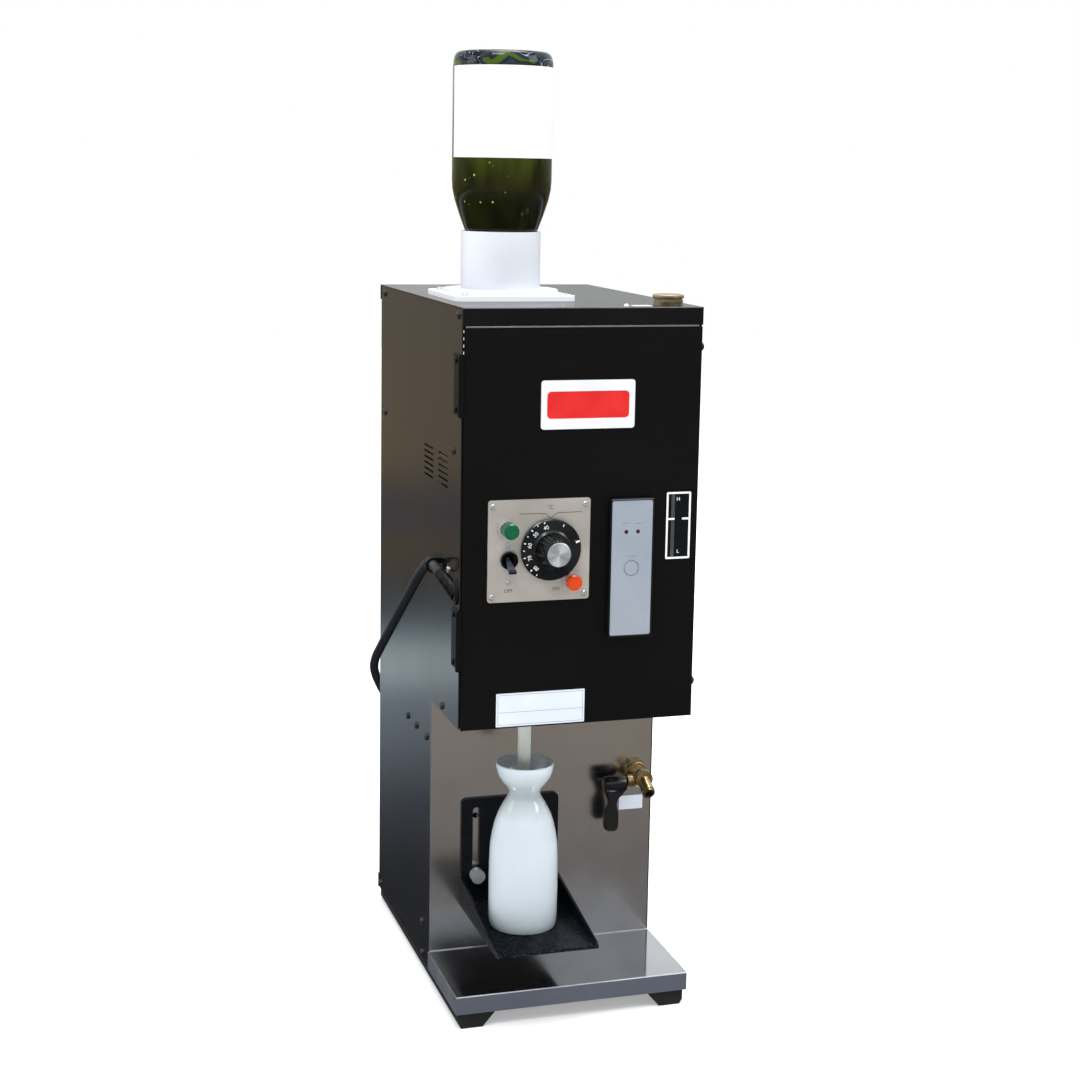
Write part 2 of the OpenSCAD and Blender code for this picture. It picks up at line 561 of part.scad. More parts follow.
module circuit_box() {
  color([0.15, 0.35, 0.2]) at_row() {
    box([memb[0] - 13.6, 3.2, memb[1] - 48], [memb[0] + 13.6, 4.8, memb[1] + 48]);
    for (x = [-11.5, 11.5], z = [-46, 46]) cy([memb[0] + x, -3.4, memb[1] + z], 2, 6.6, 24);
    box([memb[0] - 11, 4.8, memb[1] - 40], [memb[0] + 11, 14, memb[1] - 14]);
    box([memb[0] - 9, 4.8, memb[1] + 10], [memb[0] + 9, 9, memb[1] + 30]);
    box([memb[0] - 4, 1.9, memb[1] - 4], [memb[0] + 4, 3.2, memb[1] + 4]);
  }
}
module gauge_window() {
  color([0.85, 0.88, 0.9, 0.3]) at_row() {
    plate_xz(gauge[0] - 13, gauge[0] + 13, gauge[1] - 33.3, gauge[1] + 33.3, -1, 1, 1);
    box([gauge[0] - 10.3, 0, gauge[1] - 30.3], [gauge[0] + 10.3, 1.5, gauge[1] + 30.3]);
  }
}
module plate_screws() {
  color([0.75, 0.75, 0.76]) at_row() {
    for (x = [-89, 3.6], z = [433.4, 521.2]) pan_y(x, -1.5, z, 3, 1.6);
    for (z = [446.8, 483.6]) pan_y(-73, -1.5, z, 2.6, 1.4);
    for (z = [433.4, 521.2], x = [-89, 3.6]) cy([x, 1.6, z], 3.2, 2.4, 6);
  }
}
// skirt, fluted cone and flat cap; blind bore for the shaft
module dial() {
  color([0.05, 0.05, 0.05]) at_row() translate([dial_x, 0, dial_z]) rotate([90, 0, 0]) difference() {
    union() {
      rotate_extrude($fn = 96) polygon([[0, 2.5], [dial_r, 2.5], [dial_r, 4.5], [dial_r - 1, 5.5], [19.5, 7.5], [17.5, 9], [0, 9]]);
      rotate_extrude($fn = 96) polygon([[0, 8], [17, 8], [13.4, 27.5], [12.6, 28.6], [0, 28.6]]);
      translate([0, 0, 9]) cylinder(r = 11.9, h = 20.2, $fn = 64);
    }
    for (a = [0:15:345]) rotate([0, 0, a]) translate([17.1, 0, 9.2]) rotate([0, -10.5, 0]) cylinder(r = 1.25, h = 30, $fn = 16);
    translate([0, 0, 2]) cylinder(r = 3.05, h = 15, $fn = 32);
  }
}
module toggle_lever() {
  color([0.08, 0.08, 0.08]) at_row() translate([tog[0], 5, tog[1]]) {
    sphere(r = 4.2, $fn = 32);
    cx([-5.4, 0, 0], 1.1, 10.8, 24);
    rotate([114.4, 0, 0]) {
      cylinder(r1 = 1.9, r2 = 2.1, h = 11, $fn = 32);
      translate([0, 0, 11]) cylinder(r1 = 2.1, r2 = 3, h = 9.5, $fn = 32);
      translate([0, 0, 20.5]) sphere(r = 3, $fn = 32);
    }
  }
}
module manual_key() {
  color([0.76, 0.77, 0.8]) at_row() {
    cy([memb[0], -5.6, memb[1]], 7, 3, 40);
    cy([memb[0], -2.6, memb[1]], 2.2, 3.7, 24);
  }
}
// hub on the stem, waist and paddle that hang down
module drain_lever() {
  color([0.05, 0.05, 0.05]) at_row() {
    cx([cock_x - 16, cock_y, lever_z], 2.9, 10.9, 24);
    cx([cock_x - 38, cock_y, lever_z], 9.6, 22, 40);
    translate([cock_x - 30.5, cock_y - 4, lever_z - 54]) {
      translate([0, 0, 26]) cube([9.5, 8, 22]);
      translate([-3, 0, 4]) cube([14.5, 8, 24]);
      translate([4.2, 8, 7]) rotate([90, 0, 0]) cylinder(r = 7, h = 8, $fn = 32);
    }
  }
}

// ---------------- shelf, flask, bottle ----------------
module slot_y(x, z0, z1, r) {
  for (z = [z0 + r, z1 - r]) cy([x, col - 10, z], r, 20, 32);
  box([x - r, col - 10, z0 + r], [x + r, col + 10, z1 - r]);
}
module shelf_bracket() {
  color([0.05, 0.05, 0.05]) at_row() difference() {
    union() {
      plate_xz(shelf_l, shelf_r, shelf_z, 197, col - 3.3, 3, 6);
      box([shelf_l, col - 3.3, shelf_z], [shelf_r, col - 0.3, shelf_z + 20]);
      box([shelf_l, shelf_front, shelf_z], [shelf_r, col - 0.3, shelf_z + 3]);
      for (x = [shelf_l, shelf_r - 2.5]) translate([x, 0, 0]) rotate([90, 0, 90]) linear_extrude(height = 2.5)
        polygon([[shelf_front, shelf_z], [col - 0.3, shelf_z], [col - 0.3, 112], [col - 4, 112], [shelf_front + 3, shelf_z + 5.5], [shelf_front, shelf_z + 4]]);
    }
    slot_y(thumb_xl, thumb_lo - 3.7, 187.5, 3.7);
    slot_y(thumb_xr, thumb_lo - 3.7, 187.5, 3.7);
    box([thumb_xl + 8, col - 12, shelf_z - 1], [thumb_xl + 16, col - 7, shelf_z + 4]);
  }
}
module thumb_screw(x) {
  cy([x, col - 5.1, thumb_lo], 6.6, 1.5, 40);
  cy([x, col - 14.1, thumb_lo], 7.4, 9, 48);
  cy([x, col - 6, thumb_lo], 3, 14, 32);
}
module thumb_screw_left() { color([0.75, 0.75, 0.76]) at_row() thumb_screw(thumb_xl); }
module thumb_screw_right() { color([0.75, 0.75, 0.76]) at_row() thumb_screw(thumb_xr); }
module filler_cap() {
  color([0.75, 0.58, 0.28]) at_row() translate([cap_x, cap_y, 0]) difference() {
    rotate_extrude($fn = 96) polygon([[0, 711.3], [14.6, 711.3], [14.6, 714.4], [13.9, 714.9], [13.9, 715.7], [15.5, 716.2], [15.5, 718.7], [14.5, 719.6], [0, 719.6]]);
    translate([0, 0, 711]) cylinder(r = 10.2, h = 4, $fn = 48);
  }
}
// one glass bottle, upside down, as wall, base, shoulder and neck
module bottle_piece(p) {
  color([0.16, 0.22, 0.08, 0.6]) at_row() translate([bottle_x, bottle_y, 0]) rotate_extrude($fn = 96) polygon(p);
}
module bottle() { bottle_piece([[46.5, mouth_z + 182], [bottle_r, mouth_z + 182], [bottle_r, bottle_top - 17], [46.5, bottle_top - 17]]); }
module bottle_base() {
  bottle_piece([[46.5, bottle_top - 17], [bottle_r, bottle_top - 17], [bottle_r, bottle_top - 16], [48.5, bottle_top - 7], [44, bottle_top - 2], [38, bottle_top], [30, bottle_top - 1.5], [0, bottle_top - 9],
    [0, bottle_top - 14], [30, bottle_top - 7], [38, bottle_top - 5.5], [44, bottle_top - 10]]);
}
module bottle_shoulder() {
  bottle_piece([[14.2, mouth_z + 60], [16.5, mouth_z + 76], [22, mouth_z + 94], [30, mouth_z + 117], [36.3, mouth_z + 131.5], [42.4, mouth_z + 148], [47, mouth_z + 162], [49.4, mouth_z + 173], [bottle_r, mouth_z + 182],
    [46.5, mouth_z + 182], [45.8, mouth_z + 173], [43.5, mouth_z + 163], [39, mouth_z + 150], [33, mouth_z + 134], [26.5, mouth_z + 119], [18.5, mouth_z + 97], [13, mouth_z + 79], [10.6, mouth_z + 60]]);
}
module bottle_neck() { bottle_piece([[9.5, mouth_z + 0.1], [14, mouth_z + 0.1], [15, mouth_z + 1], [15, mouth_z + 8], [13.8, mouth_z + 10], [14.2, mouth_z + 60], [10.6, mouth_z + 60], [9.5, mouth_z + 40]]); }
module flask() {
  color([0.9, 0.93, 0.94]) at_row() translate([flask_x, flask_y, shelf_z + 3.1]) rotate_extrude($fn = 96)
    polygon([[0, 1.5], [22, 1.5], [23, 0], [29, 0], [32.5, 2.2], [34.3, 6], [35, 12], [35, 86], [34.3, 96], [31.6, 108], [27, 119], [21.5, 128], [17.2, 133.5], [15.9, 137], [16.6, 141], [20.5, 148], [25.5, 157], [28.6, 166], [29.2, 169], [28.2, 170], [26.8, 169],
      [23.4, 159], [18.2, 150], [13.6, 143], [12.3, 137], [13.6, 132], [18, 126.5], [23, 118], [27.6, 107], [30.4, 95], [31, 85], [31, 13], [29, 7.5], [24, 5.5], [0, 5.5]]);
}

side_panel_left();
side_panel_right();
top_cover();
rear_cover();
column_panel();
head_floor();
drip_tray();
base_plate();
runners();
cabinet_screws();
hinge_fixed();
door_catches();
bottle_collar();
collar_screws();
bottle_socket();
sake_pipe();
sake_pump();
nozzle_fitting();
dispense_tube();
water_tank();
tank_lid();
heater_element();
filler_neck();
sight_tube();
tank_pipes();
drain_cock();
electrics_box();
cord_gland();
cord_clip();
cord_run();
cord_coil();
cord_tail();
mains_plug();
door_shell();
door_hinge_leaves();
nameplate();
control_plate();
thermostat_body();
switch_body();
lamp_bezels();
lamp_green();
lamp_orange();
membrane_case();
membrane_panel();
circuit_box();
gauge_window();
plate_screws();
dial();
toggle_lever();
manual_key();
drain_lever();
shelf_bracket();
thumb_screw_left();
thumb_screw_right();
filler_cap();
bottle();
bottle_base();
bottle_shoulder();
bottle_neck();
flask();
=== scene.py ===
import bpy, bmesh, json, math
from mathutils import Vector, Matrix


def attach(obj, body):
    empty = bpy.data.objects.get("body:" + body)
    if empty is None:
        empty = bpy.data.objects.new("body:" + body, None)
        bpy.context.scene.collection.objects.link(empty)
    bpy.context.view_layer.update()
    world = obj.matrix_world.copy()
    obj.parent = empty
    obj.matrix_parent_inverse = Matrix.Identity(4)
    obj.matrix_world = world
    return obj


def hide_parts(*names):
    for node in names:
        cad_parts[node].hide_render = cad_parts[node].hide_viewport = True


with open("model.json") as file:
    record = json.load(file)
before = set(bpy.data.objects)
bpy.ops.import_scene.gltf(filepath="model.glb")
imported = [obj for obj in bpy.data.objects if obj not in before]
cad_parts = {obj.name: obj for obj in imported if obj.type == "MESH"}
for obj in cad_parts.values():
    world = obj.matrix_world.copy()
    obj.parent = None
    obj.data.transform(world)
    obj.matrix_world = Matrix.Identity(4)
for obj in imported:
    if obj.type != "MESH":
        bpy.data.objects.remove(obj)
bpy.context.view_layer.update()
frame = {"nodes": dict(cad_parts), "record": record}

N = frame["nodes"]
DY = -163.5


def D(x, y, z):
    """A point of the drawing, in millimetres from the door's face, as a point of the row frame in metres."""
    return Vector((x / 1000, (y + DY) / 1000, z / 1000))


# ---------------------------------------------------------------- camera
f_px, yaw, pitch, roll = 1924.741, 0.29974, 0.159554, -0.017569
fwd = Vector((math.sin(yaw) * math.cos(pitch), math.cos(yaw) * math.cos(pitch), -math.sin(pitch)))
right = Vector((math.cos(yaw), -math.sin(yaw), 0))
down = fwd.cross(right)
r2 = math.cos(roll) * right + math.sin(roll) * down
d2 = -math.sin(roll) * right + math.cos(roll) * down
cam_data = bpy.data.cameras.new("camera")
cam = bpy.data.objects.new("camera", cam_data)
bpy.context.scene.collection.objects.link(cam)
bpy.context.scene.camera = cam
cam_data.sensor_width = 36
cam_data.lens = 36 * f_px / 1080
cam_data.shift_x = 0
cam_data.shift_y = -60 / 1080
cam_data.clip_start, cam_data.clip_end = 0.05, 50
rot = Matrix((r2, -d2, -fwd)).transposed()
cam.matrix_world = Matrix.Translation(D(-577.7165, -1732.0168, 837.5)) @ rot.to_4x4()

# ---------------------------------------------------------------- node helpers


def new_mat(name):
    m = bpy.data.materials.new(name)
    m.use_nodes = True
    nt = m.node_tree
    return m, nt, nt.nodes["Principled BSDF"]


def add(nt, kind, **kw):
    n = nt.nodes.new(kind)
    for k, v in kw.items():
        if k in n.inputs:
            n.inputs[k].default_value = v
        else:
            setattr(n, k, v)
    return n


def coords(nt, scale=(1, 1, 1), rot=(0, 0, 0)):
    tc = add(nt, "ShaderNodeTexCoord")
    mp = add(nt, "ShaderNodeMapping")
    mp.inputs["Scale"].default_value = scale
    mp.inputs["Rotation"].default_value = rot
    nt.links.new(tc.outputs["Object"], mp.inputs["Vector"])
    return mp.outputs["Vector"]


def noise(nt, vec, scale, detail=4.0, rough=0.55):
    n = add(nt, "ShaderNodeTexNoise")
    n.inputs["Scale"].default_value = scale
    n.inputs["Detail"].default_value = detail
    n.inputs["Roughness"].default_value = rough
    nt.links.new(vec, n.inputs["Vector"])
    return n.outputs["Fac"]


def remap(nt, fac, lo, hi, a=0.3, b=0.7):
    n = add(nt, "ShaderNodeMapRange")
    n.inputs["From Min"].default_value = a
    n.inputs["From Max"].default_value = b
    n.inputs["To Min"].default_value = lo
    n.inputs["To Max"].default_value = hi
    nt.links.new(fac, n.inputs["Value"])
    return n.outputs["Result"]


def two(nt, fac, c0, c1, p0=0.35, p1=0.65):
    n = add(nt, "ShaderNodeValToRGB")
    n.color_ramp.elements[0].position = p0
    n.color_ramp.elements[1].position = p1
    n.color_ramp.elements[0].color = (*c0, 1)
    n.color_ramp.elements[1].color = (*c1, 1)
    nt.links.new(fac, n.inputs["Fac"])
    return n.outputs["Color"]


def bump(nt, p, height, strength, dist, chain=None):
    b = add(nt, "ShaderNodeBump")
    b.inputs["Strength"].default_value = strength
    b.inputs["Distance"].default_value = dist
    nt.links.new(height, b.inputs["Height"])
    if chain is not None:
        nt.links.new(chain, b.inputs["Normal"])
    nt.links.new(b.outputs["Normal"], p.inputs["Normal"])
    return b.outputs["Normal"]


def surface(name, c0, c1, r0, r1, metal=0.0, tone=18.0, grain=900.0, grain_h=0.00002, strength=0.35,
            stretch=(1, 1, 1), coat=0.0, spec=0.5, aniso=0.0, big=None):
    """Two tones drifting into each other, roughness that drifts with them, and a fine grain in relief."""
    m, nt, p = new_mat(name)
    v = coords(nt)
    vs = coords(nt, stretch)
    drift = noise(nt, v, tone, 5.0)
    fine = noise(nt, vs, grain, 3.0, 0.6)
    nt.links.new(two(nt, drift, c0, c1), p.inputs["Base Color"])
    mix = add(nt, "ShaderNodeMath", operation="ADD")
    half = add(nt, "ShaderNodeMath", operation="MULTIPLY")
    half.inputs[1].default_value = 0.5
    nt.links.new(fine, half.inputs[0])
    half2 = add(nt, "ShaderNodeMath", operation="MULTIPLY")
    half2.inputs[1].default_value = 0.5
    nt.links.new(drift, half2.inputs[0])
    nt.links.new(half.outputs[0], mix.inputs[0])
    nt.links.new(half2.outputs[0], mix.inputs[1])
    nt.links.new(remap(nt, mix.outputs[0], r0, r1), p.inputs["Roughness"])
    p.inputs["Metallic"].default_value = metal
    p.inputs["Specular IOR Level"].default_value = spec
    p.inputs["Coat Weight"].default_value = coat
    p.inputs["Coat Roughness"].default_value = 0.08
    p.inputs["Anisotropic"].default_value = aniso
    ch = bump(nt, p, fine, strength, grain_h)
    if big:
        bump(nt, p, noise(nt, v, big[0], 2.0), big[1], big[2], ch)
    return m


M = {}
M["black_paint"] = surface("paint_black_textured", (0.012, 0.012, 0.013), (0.016, 0.015, 0.015), 0.10, 0.17, tone=9, grain=1500, grain_h=0.00003, strength=0.20, spec=0.5, big=(4.0, 0.05, 0.0007))
M["top_paint"] = surface("paint_top_satin", (0.0040, 0.0040, 0.0041), (0.0056, 0.0054, 0.0052), 0.16, 0.26, tone=7, grain=1600, grain_h=0.00002, strength=0.2, spec=0.22)
M["door_paint"] = surface("paint_door_satin", (0.0024, 0.0027, 0.0027), (0.0036, 0.0035, 0.0033), 0.34, 0.44, tone=6, grain=1400, grain_h=0.00002, strength=0.2, spec=0.16)
M["runner_black"] = surface("plastic_runner", (0.008, 0.008, 0.008), (0.014, 0.014, 0.014), 0.5, 0.65, tone=30, grain=900)
M["screw_black"] = surface("steel_black_oxide", (0.030, 0.030, 0.034), (0.055, 0.055, 0.062), 0.24, 0.38, metal=0.5, tone=220, grain=3000)
M["screw_silver"] = surface("nickel_plated", (0.64, 0.64, 0.64), (0.80, 0.80, 0.80), 0.14, 0.26, metal=0.75, tone=260, grain=2500, grain_h=0.00001)
M["white_pvc"] = surface("pvc_white", (0.77, 0.80, 0.845), (0.81, 0.84, 0.885), 0.30, 0.40, tone=14, grain=900, grain_h=0.00001, strength=0.15, spec=0.4)
# painted light: white PVC below 715.2 mm height glows with emission strength 0.3, fading to none by 716.5 mm, to
# brighten the collar
nt = M["white_pvc"].node_tree
glow_height = add(nt, "ShaderNodeSeparateXYZ")
nt.links.new(coords(nt), glow_height.inputs[0])
nt.nodes["Principled BSDF"].inputs["Emission Color"].default_value = (1, 1, 1, 1)
nt.links.new(remap(nt, glow_height.outputs["Z"], 0.30, 0.0, 0.7152, 0.7165), nt.nodes["Principled BSDF"].inputs["Emission Strength"])
M["brass"] = surface("brass_worn", (0.42, 0.30, 0.14), (0.62, 0.50, 0.27), 0.20, 0.40, metal=1.0, tone=90, grain=1400, grain_h=0.00003)
M["cord_rubber"] = surface("rubber_cord", (0.010, 0.0115, 0.015), (0.014, 0.016, 0.021), 0.32, 0.44, tone=60, grain=1300, grain_h=0.00003)
M["hinge_black"] = surface("paint_hinge", (0.003, 0.003, 0.0033), (0.005, 0.005, 0.0056), 0.34, 0.46, tone=60, grain=1500, spec=0.12)
M["plate_white"] = surface("enamel_white", (0.70, 0.72, 0.76), (0.78, 0.80, 0.84), 0.16, 0.26, tone=40, grain=1200, grain_h=0.00001, strength=0.15)
M["plate_satin"] = surface("aluminium_satin", (0.405, 0.378, 0.335), (0.470, 0.442, 0.398), 0.36, 0.46, metal=0.30, tone=22, grain=420, grain_h=0.00001, strength=0.25, stretch=(1, 1, 14))
M["phenolic"] = surface("phenolic_black", (0.0035, 0.004, 0.0045), (0.006, 0.007, 0.008), 0.14, 0.26, tone=70, grain=1600, grain_h=0.00002, spec=0.5)
M["appliance_white"] = surface("plastic_offwhite", (0.70, 0.70, 0.67), (0.78, 0.78, 0.75), 0.4, 0.5, tone=40, grain=900)
M["membrane_grey"] = surface("film_grey", (0.268, 0.305, 0.357), (0.296, 0.330, 0.375), 0.42, 0.52, tone=16, grain=2600, grain_h=0.00001, strength=0.25, spec=0.3)
M["board_green"] = surface("board_green", (0.02, 0.12, 0.05), (0.03, 0.17, 0.07), 0.3, 0.45, tone=120, grain=800)
M["pump_grey"] = surface("plastic_pump", (0.10, 0.11, 0.12), (0.15, 0.16, 0.18), 0.4, 0.5, tone=40, grain=900)
M["shelf_black"] = surface("paint_shelf", (0.0040, 0.0052, 0.0072), (0.0058, 0.0076, 0.0102), 0.20, 0.32, tone=40, grain=1500, grain_h=0.00004, strength=0.3, spec=0.13)
# pale specks of grit in the paint of the shelf
nt = M["shelf_black"].node_tree
speck = noise(nt, coords(nt), 620, 2.0, 0.7)
dust = add(nt, "ShaderNodeMix", data_type="RGBA")
high = add(nt, "ShaderNodeSeparateXYZ")
nt.links.new(coords(nt), high.inputs[0])
flat = add(nt, "ShaderNodeMath", operation="MULTIPLY")
nt.links.new(remap(nt, speck, 0, 1, 0.57, 0.66), flat.inputs[0])
nt.links.new(remap(nt, high.outputs["Z"], 1, 0.04, 0.0850, 0.0875), flat.inputs[1])
nt.links.new(flat.outputs[0], dust.inputs[0])
nt.links.new(nt.nodes["Principled BSDF"].inputs["Base Color"].links[0].from_socket, dust.inputs[6])
dust.inputs[7].default_value = (0.075, 0.09, 0.11, 1)
nt.links.new(dust.outputs[2], nt.nodes["Principled BSDF"].inputs["Base Color"])
M["tank_steel"] = surface("steel_2b", (0.50, 0.50, 0.50), (0.60, 0.60, 0.60), 0.28, 0.42, metal=1.0, tone=24, grain=500, stretch=(1, 1, 8))
M["silver_cap"] = surface("aluminium_spun", (0.50, 0.53, 0.56), (0.64, 0.66, 0.69), 0.22, 0.34, metal=0.55, tone=120, grain=2200, grain_h=0.00001, aniso=0.7)
# painted highlight: the spun cap's base colour is a radial fan of lighter and darker grey sectors about the dial's
# centre, the sheen of the spinning painted in
nt = M["silver_cap"].node_tree
sp_ = add(nt, "ShaderNodeSeparateXYZ")
nt.links.new(coords(nt), sp_.inputs[0])
cb = add(nt, "ShaderNodeCombineXYZ")
for k_, (axis_, off_) in enumerate((("X", 0.0312), ("Z", -0.4782))):
    mv = add(nt, "ShaderNodeMath", operation="ADD")
    mv.inputs[1].default_value = off_
    nt.links.new(sp_.outputs[axis_], mv.inputs[0])
    nt.links.new(mv.outputs[0], cb.inputs[k_])
gr = add(nt, "ShaderNodeTexGradient", gradient_type="RADIAL")
nt.links.new(cb.outputs[0], gr.inputs["Vector"])
painted_spin_sheen = add(nt, "ShaderNodeValToRGB")
painted_spin_sheen.color_ramp.elements[0].color = (0.50, 0.53, 0.56, 1)
painted_spin_sheen.color_ramp.elements[1].color = (0.50, 0.53, 0.56, 1)
for pos_, g_ in ((0.06, 0.36), (0.14, 0.62), (0.22, 0.78), (0.30, 0.48), (0.40, 0.34), (0.52, 0.46), (0.62, 0.74), (0.70, 0.70), (0.80, 0.42), (0.92, 0.38)):
    painted_spin_sheen.color_ramp.elements.new(pos_).color = (g_ * 0.96, g_, g_ * 1.04, 1)
nt.links.new(gr.outputs["Fac"], painted_spin_sheen.inputs["Fac"])
nt.links.new(painted_spin_sheen.outputs["Color"], nt.nodes["Principled BSDF"].inputs["Base Color"])
M["brass_dull"] = surface("brass_dull", (0.30, 0.245, 0.14), (0.46, 0.39, 0.25), 0.28, 0.46, metal=0.9, tone=90, grain=1400, grain_h=0.00003)
M["print_white"] = surface("print_white", (0.78, 0.80, 0.82), (0.84, 0.86, 0.88), 0.4, 0.5, tone=120, grain=1500)
M["print_dark"] = surface("print_dark", (0.06, 0.055, 0.05), (0.09, 0.08, 0.075), 0.45, 0.55, tone=120, grain=1500)
M["print_grey"] = surface("print_grey", (0.20, 0.21, 0.24), (0.24, 0.25, 0.28), 0.45, 0.55, tone=120, grain=1500)
M["red_enamel"] = surface("enamel_red", (0.62, 0.012, 0.012), (0.70, 0.018, 0.016), 0.18, 0.28, tone=40, grain=1200, grain_h=0.00001)
M["case_black"] = surface("plastic_case_satin", (0.004, 0.0045, 0.0045), (0.007, 0.0075, 0.0075), 0.30, 0.40, tone=30, grain=1500, spec=0.3)
M["label_paper"] = surface("paper_label", (0.79, 0.815, 0.875), (0.81, 0.835, 0.895), 0.45, 0.55, tone=30, grain=2200, grain_h=0.00001, spec=0.25)
M["paddle_grey"] = surface("plastic_paddle", (0.050, 0.070, 0.095), (0.075, 0.098, 0.128), 0.18, 0.3, tone=150, grain=1800, grain_h=0.00001)
M["tip_purple"] = surface("plastic_tip", (0.006, 0.004, 0.016), (0.012, 0.008, 0.030), 0.12, 0.22, tone=150, grain=1800, grain_h=0.00001)
M["tube_strip"] = surface("tube_edge", (0.035, 0.036, 0.040), (0.060, 0.061, 0.066), 0.3, 0.4, tone=90, grain=1200, grain_h=0.00001)
M["tie_black"] = surface("tie_woven", (0.008, 0.008, 0.009), (0.014, 0.014, 0.015), 0.6, 0.75, tone=200, grain=1600, grain_h=0.0001, strength=0.5)
M["thumb_steel"] = surface("steel_turned", (0.60, 0.60, 0.61), (0.70, 0.70, 0.71), 0.16, 0.24, metal=0.55, tone=60, grain=900, grain_h=0.000003, strength=0.1)
# painted light: the bright finish colours strips of painted highlight, the grey finish strips of painted highlight and
# one of painted reflection
M["edge_bright"] = surface("painted_bright_edge", (0.56, 0.58, 0.63), (0.70, 0.72, 0.77), 0.34, 0.5, metal=0.25, tone=40, grain=1200, grain_h=0.00001)
M["edge_dull"] = surface("painted_grey_edge_light", (0.11, 0.115, 0.14), (0.16, 0.165, 0.195), 0.45, 0.6, metal=0.3, tone=40, grain=1200, grain_h=0.00001)
M["led_dark"] = surface("led_dark_red", (0.03, 0.002, 0.008), (0.07, 0.006, 0.018), 0.08, 0.16, tone=200, grain=900)
M["sticker"] = surface("sticker_white", (0.65, 0.70, 0.79), (0.69, 0.74, 0.82), 0.32, 0.42, tone=24, grain=1800, grain_h=0.00001, spec=0.3)


def stainless(name, stretch, r0, r1, tint=(0.60, 0.585, 0.565), tint2=(0.66, 0.65, 0.635)):
    """Fine one-way brushing over a nearly mirror sheet, with cloudy wiping marks."""
    m, nt, p = new_mat(name)
    v = coords(nt)
    vs = coords(nt, stretch)
    cloud = noise(nt, v, 11.0, 6.0, 0.6)
    lines = noise(nt, vs, 60.0, 4.0, 0.7)
    nt.links.new(two(nt, cloud, tint, tint2), p.inputs["Base Color"])
    s = add(nt, "ShaderNodeMath", operation="MULTIPLY_ADD")
    s.inputs[1].default_value = 0.5
    nt.links.new(lines, s.inputs[0])
    h = add(nt, "ShaderNodeMath", operation="MULTIPLY")
    h.inputs[1].default_value = 0.5
    nt.links.new(cloud, h.inputs[0])
    nt.links.new(h.outputs[0], s.inputs[2])
    nt.links.new(remap(nt, s.outputs[0], r0, r1), p.inputs["Roughness"])
    p.inputs["Metallic"].default_value = 1.0
    p.inputs["Anisotropic"].default_value = 0.35
    ch = bump(nt, p, lines, 0.12, 0.00001)
    bump(nt, p, noise(nt, v, 5.0, 2.0), 0.08, 0.0006, ch)
    return m


M["stainless"] = stainless("stainless_column", (1, 1, 22), 0.15, 0.25, (0.50, 0.485, 0.47), (0.57, 0.56, 0.545))
M["stainless_tray"] = stainless("stainless_tray", (1, 22, 22), 0.05, 0.13, (0.46, 0.47, 0.49), (0.53, 0.54, 0.565))


def glass(name, col, rough, trans, alpha_ior=1.5, tone=40):
    m, nt, p = new_mat(name)
    v = coords(nt)
    n = noise(nt, v, tone, 3.0)
    nt.links.new(two(nt, n, col, tuple(min(1, c * 1.12) for c in col)), p.inputs["Base Color"])
    nt.links.new(remap(nt, n, rough, rough + 0.04), p.inputs["Roughness"])
    p.inputs["Transmission Weight"].default_value = trans
    p.inputs["IOR"].default_value = alpha_ior
    bump(nt, p, noise(nt, v, 16.0, 2.0), 0.06, 0.0006)
    return m


M["glass_clear"] = glass("glass_gauge", (0.80, 0.86, 0.88), 0.03, 0.9, 1.45)


